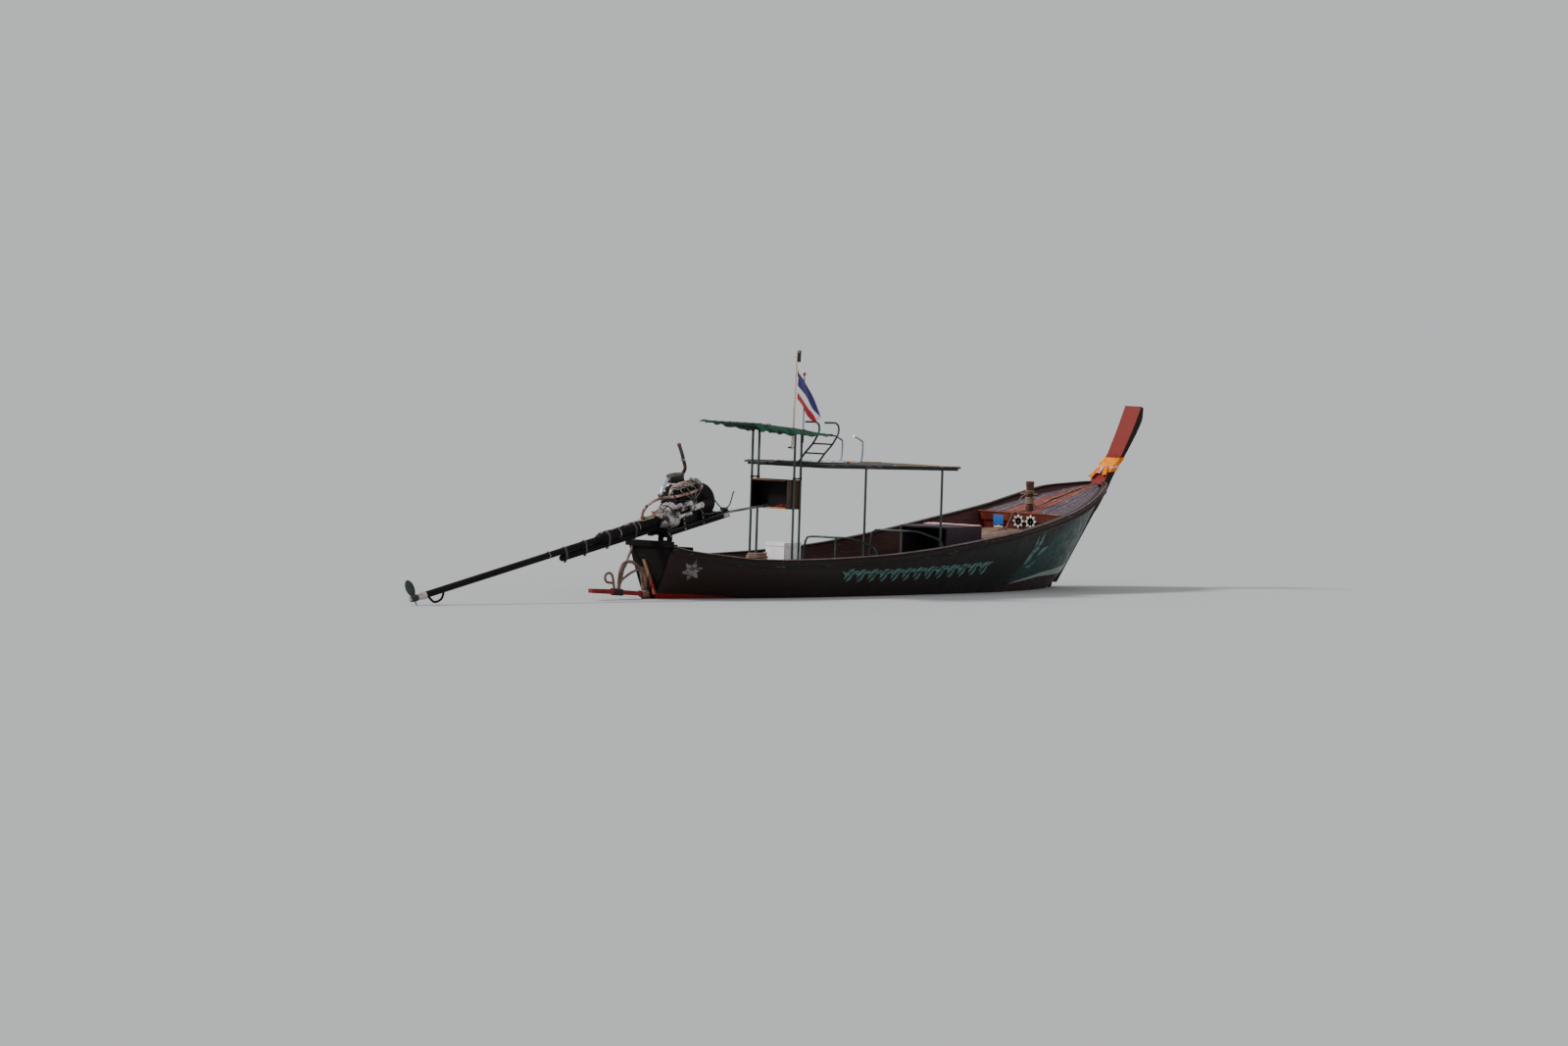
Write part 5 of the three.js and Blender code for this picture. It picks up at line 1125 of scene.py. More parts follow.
# Lips: from y, z to y, z, and which wood.
lips = [((-0.27, CAB_Z[1] - 0.022), (0.36, CAB_Z[1] - 0.001), 1),
    ((-0.3, CAB_Z[0] + 0.001), (0.16, CAB_Z[0] + 0.022), 0),
    ((-CAB_HALF, CAB_Z[0] + 0.0002), (-0.315, CAB_Z[1] - 0.0002), 2)]
build("cabinet_lips", [(bar((CAB_X - 0.01, y0, z0), (CAB_X, y1, z1), 0.003), which)
        for (y0, z0), (y1, z1), which in lips], [lip_wood, brown_lip, stile_wood])
red_cotton = cotton("red_cotton", "#8a1620", "#460a12")
u, v = linspace(0, 1, 40)[:, None], linspace(0, 1, 30)
crumple = (0.012 * sin(9 * u + 5 * v) + 0.01 * sin(15 * v - 4 * u)
    + 0.006 * sin(23 * u) * sin(19 * v))
lump = 0.035 * np.exp(-((u - 0.5) ** 2 + (v - 0.5) ** 2) * 9)
rag_grid = xyz(-3.145 + 0.13 * u + 0.01 * sin(8 * v), -0.26 + 0.2 * v + 0.012 * sin(7 * u),
    1.3215 + lump + np.abs(crumple))
rag = build("cabinet_cloth", [(rag_grid, 0, False, False)], red_cotton, closed=False)
thicken(rag, "cloth", 0.0015, 1.0)
cut_size(rag_grid)


# Roof: long boards on the tube frame, dark and weather-beaten, in the model's solid. Cream
# battens are screwed along its forward edges, and an orange webbing strap ties the ladders down.
roof_boards = timber("weathered_roof_board", "#4a4143", "#272124", "#8c8078", board=0.198,
    wear=0.4, gloss=0.7)
cream_paint = timber("cream_paint_on_batten", "#d8c9ae", "#9a8868", "#6a5340", gloss=0.6)
dress("roof", roof_boards)
ROOF_X, ROOF_Z, ROOF_THICK = (-2.885, 0.37), (1.962, 1.898), 0.026


def on_roof(x):
    """Height of the roof's upper face at x."""
    return interp(x, ROOF_X, ROOF_Z) + ROOF_THICK


battens = []
for x0, x1, y0, y1 in ((-2.86, -1.9, 0.745, 0.78), (-1.8, -0.7, 0.745, 0.78),
        (-0.6, 0.34, 0.745, 0.78), (-1.2, -0.2, -0.78, -0.75), (-0.1, 0.35, -0.78, -0.75),
        (0.3, 0.335, -0.72, 0.72)):
    strip = bar((x0, y0, 0.0006), (x1, y1, 0.0136), 0.004)
    strip[..., 2] += on_roof(strip[..., 0])
    battens.append(strip)
build("roof_battens", battens, cream_paint)
webbing = cotton("orange_webbing", "#d9822b", "#8a4a12")
STRAP_X, STRAP_HALF = -1.62, 0.019
half_strap = [[0.235, -0.003], [0.22, 0.032], [0.2, 0.0335], [0.1, 0.014]]
strap_line = between(linspace(0, 1, 50), [0, 0.06, 0.12, 0.3, 0.5, 0.7, 0.88, 0.94, 1.0],
    [*half_strap, [0, 0.004], *([-y, z] for y, z in half_strap[::-1])])
strap_line = xyz(STRAP_X, strap_line[:, 0], strap_line[:, 1] + on_roof(STRAP_X) + 0.004)
strap_grid = strap_line[:, None] + xyz(linspace(-STRAP_HALF, STRAP_HALF, 5), 0, 0)
strap = build("ladder_strap", [(strap_grid, 0, False, False)], webbing, closed=False)
thicken(strap, "webbing", 0.0018)
float(run_of(strap_line)[-1])


# Seat pads and mat: foam in dark leatherette on two benches, sewn across in three, and a pale
# pink foam mat on the platform. Crowned forms whose sides pull in between the corners.
def leatherette(name, colour, dark, roughness):
    """Coated fabric: pebbles are fine cells, drawn 8 mm wide so that they show, on faded dye."""
    made, add = finish_of(name)
    place = add("TexCoord", out="Object")
    pebble = add("TexVoronoi", {"Vector": place, "Scale": 120})
    faded = add("TexNoise", {"Vector": place, "Scale": 6, "Detail": 5})
    tone = add("MapRange", {0: faded, 1: 0.35, 2: 0.65})
    base = add("Mix", {0: tone, 6: dark, 7: colour})
    bump = add("Bump", {"Height": pebble, "Strength": 0.25, "Distance": 0.001})
    rough = add("MapRange", {0: faded, 3: roughness - 0.1, 4: roughness + 0.15})
    add("BsdfPrincipled", {"Base Color": base, "Roughness": rough, "Normal": bump})
    return made


def cushion(name, low, high, seams, crown, finish, replaced, pull=0.008):
    """A pad between two corners. Its height falls to the welt as the fourth root of the distance
    from each side; its outline pulls in between the corners, and each seam across is a valley."""
    low, high = array(low), array(high)
    middle, half = (low + high) / 2, (high - low) / 2
    a = sin(linspace(-pi / 2, pi / 2, 36))[:, None]
    b = sin(linspace(-pi / 2, pi / 2, 120))
    x = a * (half[0] - pull * (1 - b ** 2))
    y = b * (half[1] - pull * (1 - a ** 2))
    full = clip((1 - a ** 6) * (1 - b ** 18), 0, 1) ** 0.32
    valley = sum(np.exp(-((y + middle[1] - at) / 0.012) ** 2) for at in seams) if seams else 0
    wave = 0.003 * sin(7 * x / half[0] + 1.3) * sin(5 * y / half[1])
    up = half[2] * full * (1 - 0.32 * valley)
    dome = crown * (1 - a ** 2) * (1 - b ** 2)
    top = xyz(x + middle[0], y + middle[1], middle[2] + up + (dome + wave) * full)
    flat = middle[2] - half[2] * full
    under = xyz(x + middle[0], y + middle[1], flat)
    pad = build(name, [(top, 0, False, False), (under, 0, False, False)], finish, replaced,
        closed=False)
    mend(pad.data, 2e-5)


dark_cover = leatherette("dark_leatherette", "#3a2f42", "#1d1822", 0.5)
pink_foam = leatherette("pale_pink_foam", "#f2c3c6", "#dba1a8", 0.75)
for name, x in (("aft", -1.42), ("middle", -0.64)):
    cushion(f"seat_pad_{name}", (x + 0.008, -0.62, 0.3305), (x + 0.312, 0.62, 0.402),
        (-0.207, 0.207), 0.008, dark_cover, f"pad_{name}")
cushion("foam_mat", (1.048, -0.462, 0.9905), (1.327, 0.462, 1.013), (), 0.002, pink_foam,
    "platform_mat", pull=0.003)
# Painted shade: the box's top aft of the mat keeps this purple-grey where the roof's shadow falls,
# and the pale mat lies only on the sunlit forward strip. The box's sides are purple-grey paint.
box_paint_and_shade = timber("purple_grey_paint_and_painted_shade", "#4b3a46", "#2c2129", "#7d6a70", axis="Y",
    wear=0.2)
dress("platform_box", box_paint_and_shade)


# Cool box: moulded white polyethylene, chalky with sun, with two dark latches and rope handles.
# A coil of faded rope is stowed on the after deck behind it.
white_plastic = enamel("moulded_white_polyethylene", "#ffffff", "#f2e6ea", rust_share=0.05,
    rust="#8f7d78", scale=7.0)
dress("cool_box", white_plastic)
latches = [bar((x, side_of * 0.189 - 0.004, 0.715), (x + 0.034, side_of * 0.189 + 0.004, 0.765),
        0.003) for x in (-2.95, -2.775) for side_of in (-1, 1)]
build("cool_box_latches", latches, white_plastic)
HEAP_X, HEAP_Y, HEAP_R, HEAP_D = -3.47, -0.02, 0.145, 0.026
around = linspace(0, 9 * 2 * pi, 9 * 26)
lap = around / (2 * pi)
radius = HEAP_R + 0.013 * sin(lap * 2.1) + 0.006 * sin(3 * around)
heap = xyz(HEAP_X + radius * cos(around), HEAP_Y + radius * sin(around),
    0.3965 + 0.0272 * lap + 0.002 * sin(2 * around))
lay_rope("stowed_rope", heap, HEAP_D, rosy_rope, spacing=0.02)


# Swivel: a steel pedestal bolted through the stern deck, and a turning yoke whose pin carries the
# tail. Black paint, oily, with rust at the edges; the pin's nuts are bare.
black_steel = enamel("black_paint_on_steel", "#151113", "#080607", rust_share=0.42, roughness=0.55,
    rust="#241512", specular=0.15)
bare_steel = enamel("bare_steel", "#b9b6b2", "#7b7672", metallic=1.0, roughness=0.32,
    rust="#5a3a28", scale=30.0)
dress("swivel_seat swivel_yoke", black_steel)


def turned(foot, way, profile, sides=20):
    """A profile of (distance along the axis, radius) pairs turned round the axis from its foot."""
    foot, way, profile = (np.asarray(one, float) for one in (foot, way, profile))
    way = way / np.linalg.norm(way)
    side_way = np.cross(way, (0, 0, 1) if abs(way[2]) < 0.9 else (1, 0, 0))
    side_way /= np.linalg.norm(side_way)
    third = np.cross(way, side_way)
    angle = circle(sides)[None, :, None]
    ring = cos(angle) * side_way + sin(angle) * third
    return foot + profile[:, 0, None, None] * way + profile[:, 1, None, None] * ring


def collar(long, foot, rim, ease=0.001):
    """Profile of a ring whose rim is eased at both ends."""
    return [(0, foot), (ease, rim), (long - ease, rim), (long, foot)]


def hexagons(places, way, radius, depth, which=0):
    """Hexagon heads with a chamfered face, each turned on its washer from the same profile."""
    profile = [(0, radius * 1.35), (depth * 0.2, radius * 1.35), (depth * 0.21, radius),
        (depth * 0.88, radius), (depth, radius * 0.82)]
    return [(turned(place, way, profile, 6), which) for place in places]


SEAT_X, PLATE_TOP, PIN_Z = -5.56, 0.79, 0.93
seat_bolts = hexagons([(SEAT_X + x, y, PLATE_TOP) for x in (-0.09, 0.0, 0.09)
        for y in (-0.13, 0.13)], (0, 0, 1), 0.01, 0.01)
build("seat_bolts", seat_bolts, bare_steel)
pin_ends = []
for side_of in (-1, 1):
    pin_ends += hexagons([(SEAT_X, side_of * 0.1042, PIN_Z)], (0, side_of, 0), 0.02, 0.014)
    pin_ends.append((turned((SEAT_X, side_of * 0.0922, PIN_Z), (0, side_of, 0),
            [(0, 0.032), (0.008, 0.032), (0.01, 0.027)], 20), 1))
build("pin_nuts", pin_ends, [bare_steel, black_steel], body="swivel")


# Tail cradle: two beams on cross bars with welded corners, painted black over rust. Flats and
# bolts are worn bright where the engine's feet and the tiller's socket are clamped, and a pale
# strip along each beam's top outer edge is worn paint with a painted highlight.
SHAFT_Z, SLOPE_COS, SLOPE_SIN = 0.25, 0.980615, 0.195946


def on_tail(grid):
    """Points of the tail's own frame, x forward along the shaft, turned by its slope and set on
    the yoke's pin."""
    x, y, z = np.moveaxis(np.asarray(grid, float), -1, 0)
    return xyz(SLOPE_COS * x - SLOPE_SIN * z + SEAT_X, y, SLOPE_SIN * x + SLOPE_COS * z + PIN_Z)


def fit(name, surfaces, finish, replaced=(), closed=True):
    """Makes a piece of the tail from surfaces in the tail's own frame."""
    placed = [(on_tail(one[0]), *one[1:]) if isinstance(one, tuple) else on_tail(one)
        for one in surfaces]
    return build(name, placed, finish, replaced, closed=closed, body="tail")


dress("cradle", black_steel)
BEAM_OUT, FLAT_THICK = 0.185, 0.003
welds, flats = [], []
for side_of in (-1, 1):
    face = side_of * BEAM_OUT
    for x in (-0.14, 0.2, 0.72, 1.225):
        bead = xyz(linspace(x - 0.025, x + 0.025, 9), side_of * 0.134, 0.092)
        welds.append(tube(bead, 0.0035 + 0.001 * sin(np.arange(9) * 2.4), 6))
    low, high = sorted((face, face + side_of * FLAT_THICK))
    # The long flat is a pale strip along the beam's top outer edge: worn paint and a painted
    # highlight.
    flats += [(bar((1.135, low, 0.027), (1.268, high, 0.093), 0.001), 1),
        (bar((-0.158, low, 0.086), (1.134, high, 0.0985), 0.001), 2)]
    flats += hexagons([(x, face + side_of * FLAT_THICK, z) for x in (1.165, 1.238)
            for z in (0.043, 0.077)], (0, side_of, 0), 0.009, 0.009, 1)
    flats += hexagons([(x, face, 0.052) for x in (-0.12, 0.25, 0.67)], (0, side_of, 0), 0.013,
        0.011, 1)
worn_steel = enamel("black_paint_worn_thin", "#5b5250", "#2b2524", rust_share=0.7, metallic=0.5,
    roughness=0.5, rust="#4a2c1f", scale=26.0)
fit("cradle_welds", welds, black_steel)
fit("cradle_flats", flats, [black_steel, bare_steel, worn_steel])


# Shaft tube: two tubes held by bolted clamps, with a strut that guards the propeller. A cooling
# hose is tied along the top, and bands, nuts, a grease cup and a union sit where they are served.
brass = enamel("dull_brass", "#b89c84", "#6a5442", rust_share=0.3, metallic=0.8, roughness=0.4,
    rust="#4c4438", scale=40.0)
CLAMPS_X, TUBE_R, SLEEVE_R = (-2.24, -1.8, -1.3, -0.7), 0.049, 0.076
UNDER_R, UNDER_Z = 0.048, 0.149


def belt(circles, x0, x1, depth):
    """A band round circles (y, z, radius): its outline is, for each direction, the point that
    lies farthest that way on any of them, and a flat section is carried round it."""
    turn = circle(120)
    way = np.stack([cos(turn), sin(turn)], -1)
    middle, radius = array([c[:2] for c in circles]), array([c[2] for c in circles])
    best = np.argmax(way @ middle.T + radius, 1)
    rim, outer = (middle[best] + (radius[best] + d)[:, None] * way for d in (0, depth))
    ring = np.stack([np.c_[np.full(120, x), line] for x, line in ((x0, rim), (x0 + 0.001, outer),
            (x1 - 0.001, outer), (x1, rim))], 1)
    return np.concatenate([ring, ring[:1]])


strut = smooth_path([(-5.2, 0, 0.225), (-5.145, 0, 0.16), (-5.085, 0, 0.112), (-5.0, 0, 0.104),
        (-4.925, 0, 0.125), (-4.885, 0, 0.17), (-4.862, 0, 0.225)], 0.02)
fit("shaft_tubes", [turned((-5.27, 0, SHAFT_Z), (1, 0, 0), [(0, 0.044), (0.006, TUBE_R),
        (3.78, TUBE_R), (3.79, 0.058), (3.8, 0.073), (3.812, SLEEVE_R), (5.108, SLEEVE_R),
        (5.12, 0.072)], 32), turned((-2.33, 0, UNDER_Z), (1, 0, 0),
        [(0, 0.012), (0.005, 0.031), (0.016, 0.043), (0.032, UNDER_R), (2.17, UNDER_R),
        (2.175, 0.044)], 28), turned((-0.46, 0, 0.3), (0, 0, 1),
        [(0, 0.03), (0.049, 0.03), (0.0505, 0.027)], 20), tube(strut, 0.0175, 12)], black_steel,
    "shaft_tube")
clamps = []
for x in CLAMPS_X:
    upper = SLEEVE_R if x > -1.48 else TUBE_R
    clamps.append((belt([(0, SHAFT_Z, upper - 0.001), (0, UNDER_Z, UNDER_R - 0.001)], x - 0.021,
            x + 0.021, 0.007), 0, True, False))
    clamps.append(bar((x - 0.019, -0.015, 0.074), (x + 0.019, 0.015, 0.1), 0.003))
    clamps += hexagons([(x, 0, SHAFT_Z + upper + 0.006)], (0, 0, 1), 0.0105, 0.011, 1)
    clamps += [one for side_of in (-1, 1) for one in hexagons([(x, side_of * 0.015, 0.087)],
            (0, side_of, 0), 0.0095, 0.009, 1)]
for x, radius in ((-2.6, TUBE_R + 0.003), (-1.05, SLEEVE_R + 0.003), (-0.62, SLEEVE_R + 0.003)):
    band = collar(0.018, radius - 0.004, radius, 0.0006)
    clamps.append((turned((x, 0, SHAFT_Z), (1, 0, 0), band, 28), 1))
    clamps.append((bar((x - 0.002, -0.009, SHAFT_Z + radius - 0.002),
            (x + 0.02, 0.009, SHAFT_Z + radius + 0.014), 0.002), 1))
fit("tube_clamps", clamps, [worn_steel, bare_steel])
cast_alloy = enamel("oily_cast_aluminium", "#f3eae8", "#8d8082", rust_share=0.72, metallic=0.4,
    roughness=0.38, rust="#1c1615", scale=9.0)


# Rubber and plastic lines: black, sun-browned and grey, with a matt skin that has gone pale.
def rubber(name, colour, dark, ribs=0.0):
    """Rubber with chalky patches from broad noise; wire-wound hose has a wave along its length."""
    made, add = finish_of(name)
    place = add("TexCoord", out="Object")
    chalk = add("TexNoise", {"Vector": place, "Scale": 22, "Detail": 5})
    tone = add("MapRange", {0: chalk, 1: 0.35, 2: 0.65})
    base = add("Mix", {0: tone, 6: dark, 7: colour})
    height = chalk
    if ribs:
        run = add("UVMap", uv_map="UVMap")
        height = add("TexWave", {"Vector": run, "Scale": ribs}, 1, bands_direction="X")
    bump = add("Bump", {"Height": height, "Strength": 0.5, "Distance": 0.0015})
    add("BsdfPrincipled", {"Base Color": base, "Roughness": 0.62, "Normal": bump})
    return made


black_rubber = rubber("black_rubber", "#2b2a2c", "#141315")
tan_hose = rubber("sun_browned_hose", "#cdb6a3", "#77604f", ribs=36.0)
grey_hose = rubber("grey_wire_wound_hose", "#aaa39c", "#59534f", ribs=36.0)
wire_sleeve = rubber("black_wiring_sleeve", "#3a3436", "#1b181a", ribs=60.0)


def run_hose(name, points, diameter, finish, clipped=False):
    """A hose between two places on the engine, with a clip ring near each end where it has one."""
    path = smooth_path(points, 0.012)
    clips = [(tube(path[k:k + 3], diameter / 2 + 0.0025, 14), 1) for k in (2, len(path) - 6)]
    surfaces = [tube(path, diameter / 2, 12), *(clips if clipped else ())]
    piece = fit(name, surfaces, [finish, bare_steel])
    world = on_tail(path)
    float(run_of(world)[-1])


run_hose("tube_hose", [(-1.47, 0.02, 0.318), (-1.44, 0.005, 0.338), (-1.3, 0.0, 0.3425),
        (-1.18, -0.02, 0.3365), (-1.0, -0.015, 0.3365), (-0.85, 0.01, 0.337), (-0.7, 0.0, 0.345),
        (-0.62, -0.015, 0.342), (-0.55, -0.03, 0.334), (-0.5, -0.022, 0.345)], 0.016, grey_hose)
ties = [turned((x, y, 0.3375), (1, 0, 0), collar(0.012, 0.009, 0.0105, 0.0004), 12)
    for x, y in ((-1.44, 0.005), (-1.15, -0.021), (-0.93, -0.008), (-0.78, 0.012))]
fit("hose_ties", ties, black_rubber)


# Propeller: two cast blades on a hub, painted dark green where they aren't worn, with a bright
# nut behind and the bearing's bright cone ahead. The pitch falls towards a blade's tip.
prop_iron = enamel("dark_green_paint_on_iron", "#1b3029", "#0d1614", rust_share=0.25,
    roughness=0.4, rust="#39483c")
hub_metal = enamel("worn_bright_hub", "#e2dad4", "#a0938c", rust_share=0.3, metallic=0.7,
    roughness=0.3, rust="#7a6658")
dress("end_bearing", hub_metal)
PROP_X, PROP_TURN = -5.49, math.radians(-22)
PROP_ROWS = array([[0.03, 0.034, 0.017, 62], [0.06, 0.05, 0.014, 55], [0.09, 0.064, 0.012, 48],
        [0.13, 0.074, 0.01, 42.5], [0.165, 0.0765, 0.008, 38], [0.2, 0.073, 0.007, 34.5],
        [0.235, 0.0605, 0.006, 31.5], [0.262, 0.04, 0.005, 30], [0.274, 0.025, 0.0042, 29],
        [0.28, 0.006, 0.003, 28]])


def blade(turn):
    """A blade: lens sections of half width 0.84 a cos t, half thickness b sin t (1 + 0.3 cos t),
    turned by their pitch and stacked out along the blade."""
    r = np.r_[linspace(0.03, 0.262, 26), 0.268, 0.274, 0.278, 0.28]
    half, thick, pitch = (between(r, PROP_ROWS[:, 0], PROP_ROWS[:, k])[:, None] for k in (1, 2, 3))
    t = circle(28)
    a, b = 0.84 * half * cos(t), thick / 2 * sin(t) * (1 + 0.3 * cos(t))
    lean = np.radians(pitch)
    out_way, along = a * cos(lean) - b * sin(lean), a * sin(lean) + b * cos(lean)
    high = np.broadcast_to(r[:, None], a.shape)
    y = -high * sin(turn) + out_way * cos(turn)
    z = high * cos(turn) + out_way * sin(turn)
    return xyz(PROP_X - along, y, SHAFT_Z + z)


hub_profile = [(-0.07, 0.036), (-0.068, 0.0385), (-0.03, 0.044), (0.02, 0.049), (0.056, 0.05),
    (0.0595, 0.047)]
nut_profile = [(-0.0955, 0.02), (-0.0945, 0.025), (-0.075, 0.029), (-0.0705, 0.03)]
surfaces = [on_tail(blade(PROP_TURN + k * pi)) for k in (0, 1)]
surfaces += [on_tail(turned((PROP_X, 0, SHAFT_Z), (1, 0, 0), hub_profile, 32)),
    (on_tail(turned((PROP_X, 0, SHAFT_Z), (1, 0, 0), nut_profile, 6)), 1)]
build("cast_propeller", surfaces, [prop_iron, hub_metal], "propeller", edge=35,
    body="screw")


# Engine: a four-cylinder iron block with its head and cover, oily and nearly black. Ribs, rails,
# plugs and covers are cast on or bolted to the model's solids.
engine_iron = enamel("oily_black_engine_paint", "#1c1716", "#0b0909", rust_share=0.5,
    roughness=0.4, rust="#2b1b16", scale=12.0, specular=0.2)
dress("engine_block engine_head fan_cowl", engine_iron)
dress("flywheel_housing", cast_alloy)
castings, bolts = [], []
SUMP_LINE, DECK_LINE, HEAD_TOP, BELL_Z, BELL_BOLTS_R = 0.226, 0.452, 0.6, 0.27, 0.182
# Bars cast on both sides: x, z and distance from the middle, each from and to, and the arris.
RIBS = [(0.163, 0.757, SUMP_LINE, SUMP_LINE + 0.018, 0.16, 0.177, 0.004),
    (0.163, 0.757, DECK_LINE, DECK_LINE + 0.018, 0.16, 0.173, 0.004),
    (0.172, 0.748, 0.4735, 0.492, 0.135, 0.148, 0.004),
    (0.172, 0.748, 0.582, 0.5995, 0.135, 0.147, 0.004),
    *((x, x + 0.012, SUMP_LINE + 0.012, DECK_LINE + 0.005, 0.16, 0.172, 0.004)
        for x in (0.21, 0.29, 0.37, 0.45, 0.53, 0.61, 0.7)),
    (0.2, 0.722, 0.6004, 0.61, 0.06, 0.094, 0.003)]
for side_of in (-1, 1):
    for x0, x1, z0, z1, *reach, ease in RIBS:
        low, high = sorted(side_of * y for y in reach)
        castings.append(bar((x0, low, z0), (x1, high, z1), ease))
    castings += [(turned((x, side_of * 0.164, 0.395), (0, side_of, 0),
            [(0, 0.026), (0.005, 0.026), (0.0055, 0.021), (0.002, 0.019), (0.002, 0.003)], 20), 1)
        for x in (0.255, 0.415, 0.575)]
    bolts += hexagons([(x, side_of * 0.177, SUMP_LINE + 0.009) for x in linspace(0.185, 0.735, 8)],
        (0, side_of, 0), 0.0075, 0.007)
    bolts += hexagons([(x, side_of * 0.118, HEAD_TOP) for x in linspace(0.2, 0.72, 6)], (0, 0, 1),
        0.0095, 0.012)
    bolts += hexagons([(x, side_of * 0.1805, z) for x in (0.25, 0.67) for z in (0.135, 0.2)],
        (0, side_of, 0), 0.012, 0.01, 1)
bolts += hexagons([(x, 0, 0.712) for x in (0.23, 0.69)], (0, 0, 1), 0.013, 0.012, 1)
around = np.arange(12) * pi / 6 + 0.13
bolts += hexagons([(0.06, BELL_BOLTS_R * cos(a), BELL_Z + BELL_BOLTS_R * sin(a)) for a in around],
    (-1, 0, 0), 0.008, 0.008, 1)
castings.append((turned((0.058, 0, BELL_Z), (1, 0, 0),
        [(0, 0.19), (0.0015, 0.199), (0.014, 0.199), (0.016, 0.19)], 40), 2))
castings.append((turned((0.142, 0, BELL_Z), (1, 0, 0), collar(0.0175, 0.19, 0.2, 0.0015), 40), 2))
for k in range(8):
    turn = k * pi / 4 + 0.2
    line = [[x, r * cos(turn), 0.262 + r * sin(turn)]
        for x, r in ((-0.146, 0.121), (-0.07, 0.14), (0.0, 0.156), (0.056, 0.168))]
    castings.append((tube(line, [0.004, 0.008, 0.009, 0.01], 8), 2))
castings.append((bar((0.27, 0.165, 0.3), (0.65, 0.178, 0.375)), 2))
bolts += hexagons([(x, 0.178, z) for x in (0.285, 0.46, 0.635) for z in (0.31, 0.365)], (0, 1, 0),
    0.0075, 0.007)
plug_metal = enamel("pressed_plug", "#6f5f57", "#3b2f2a", rust_share=0.8, metallic=0.8,
    rust="#4e2d1d")
fit("engine_castings", castings, [engine_iron, plug_metal, cast_alloy])
fit("engine_bolts", bolts, [engine_iron, bare_steel])


# Starboard auxiliaries: starter and oil cooler in alloy, injection pump with four bright pipes to
# the injectors, and the intake log under the coolant pipe.
aux = [turned((0.158, -0.222, 0.415), (1, 0, 0), [(0, 0.046), (0.003, 0.05), (0.026, 0.05),
        (0.03, 0.043), (0.2, 0.043), (0.206, 0.046), (0.222, 0.046), (0.228, 0.036),
        (0.236, 0.014)], 26), turned((0.157, -0.222, 0.415), (-1, 0, 0),
        [(0, 0.048), (0.03, 0.047), (0.085, 0.033), (0.12, 0.031), (0.128, 0.022)], 24),
    turned((0.178, -0.205, 0.352), (1, 0, 0), [(0, 0.022), (0.003, 0.025), (0.1, 0.025),
        (0.104, 0.02), (0.112, 0.02)], 18), turned((0.095, -0.208, 0.262), (1, 0, 0),
        [(0, 0.026), (0.004, 0.033), (0.02, 0.033), (0.022, 0.029), (0.26, 0.029), (0.262, 0.033),
        (0.279, 0.033), (0.283, 0.026)], 22), bar((0.14, -0.215, 0.238), (0.166, -0.17, 0.286),
        0.004), bar((0.3, -0.215, 0.238), (0.326, -0.17, 0.286), 0.004),
    bar((0.395, -0.236, 0.288), (0.555, -0.172, 0.372), 0.008),
    turned((0.555, -0.205, 0.33), (1, 0, 0), [(0, 0.04), (0.006, 0.044), (0.03, 0.044),
        (0.034, 0.038)], 22), (tube([[0.19, -0.168, 0.503], [0.21, -0.175, 0.503],
        [0.45, -0.178, 0.503], [0.67, -0.175, 0.503], [0.69, -0.168, 0.503]],
        [0.017, 0.0215, 0.0225, 0.0215, 0.017], 18), 1)]
aux += [(tube([[x, -0.136, 0.515], [x, -0.172, 0.505]], 0.019, 14), 1)
    for x in (0.24, 0.387, 0.533, 0.68)]
pipes, unions = [], []
for k, x in enumerate((0.415, 0.452, 0.489, 0.526)):
    aux.append((turned((x, -0.205, 0.371), (0, 0, 1), [(0, 0.011), (0.02, 0.011), (0.0205, 0.007),
            (0.03, 0.007)], 6), 2))
    head_x = 0.24 + k * 0.147
    route = smooth_path([(x, -0.205, 0.395), (x, -0.206, 0.43), (x - 0.01, -0.222, 0.47),
            ((x + head_x) / 2, -0.226, 0.535), (head_x, -0.215, 0.6), (head_x, -0.17, 0.638),
            (head_x, -0.12, 0.655)], 0.012)
    pipes.append(tube(route, 0.0042, 8))
    unions.append((turned((head_x, -0.108, 0.598), (0, 0, 1),
            [(0, 0.015), (0.018, 0.015), (0.0185, 0.01), (0.05, 0.01), (0.0505, 0.0125),
            (0.064, 0.0125), (0.067, 0.008)], 6), 1))
fit("starboard_auxiliaries", aux, [cast_alloy, engine_iron, bare_steel])
fit("injector_pipes", pipes + unions, [bare_steel, worn_steel])


# Front: V-belts over the crank, fan and generator pulleys, a timing cover, and the dark sheet
# duct that closes in the fan from behind, with rolled beads.
belts = [(belt([(0, 0.25, 0.073), (0, 0.36, 0.031), (-0.25, 0.345, 0.037)], 0.782, 0.794, 0.008),
        0, True, False)]
fit("drive_belt", belts, black_rubber)
pulley_cut = [(0, 0.02), (0.0005, 0.06), (0.004, 0.0725), (0.007, 0.0725), (0.014, 0.062),
    (0.019, 0.062), (0.026, 0.0725), (0.03, 0.0725), (0.0335, 0.06), (0.034, 0.034), (0.04, 0.03),
    (0.0405, 0.016), (0.052, 0.016), (0.054, 0.01)]
fit("crank_pulley", [turned((0.7745, 0, SHAFT_Z), (1, 0, 0), pulley_cut, 36),
        turned((0.7605, 0, SHAFT_Z), (1, 0, 0), [(0, 0.046), (0.012, 0.043), (0.0141, 0.034)],
        24)], worn_steel, "front_pulleys")
cover = [bar((0.7603, -0.152, 0.232), (0.7665, 0.152, 0.462), 0.003)]
cover += hexagons([(0.7665, y, z) for y in (-0.138, 0.138) for z in (0.25, 0.32, 0.39, 0.447)],
    (1, 0, 0), 0.008, 0.007, 1)
fit("timing_cover", cover, [cast_alloy, bare_steel])
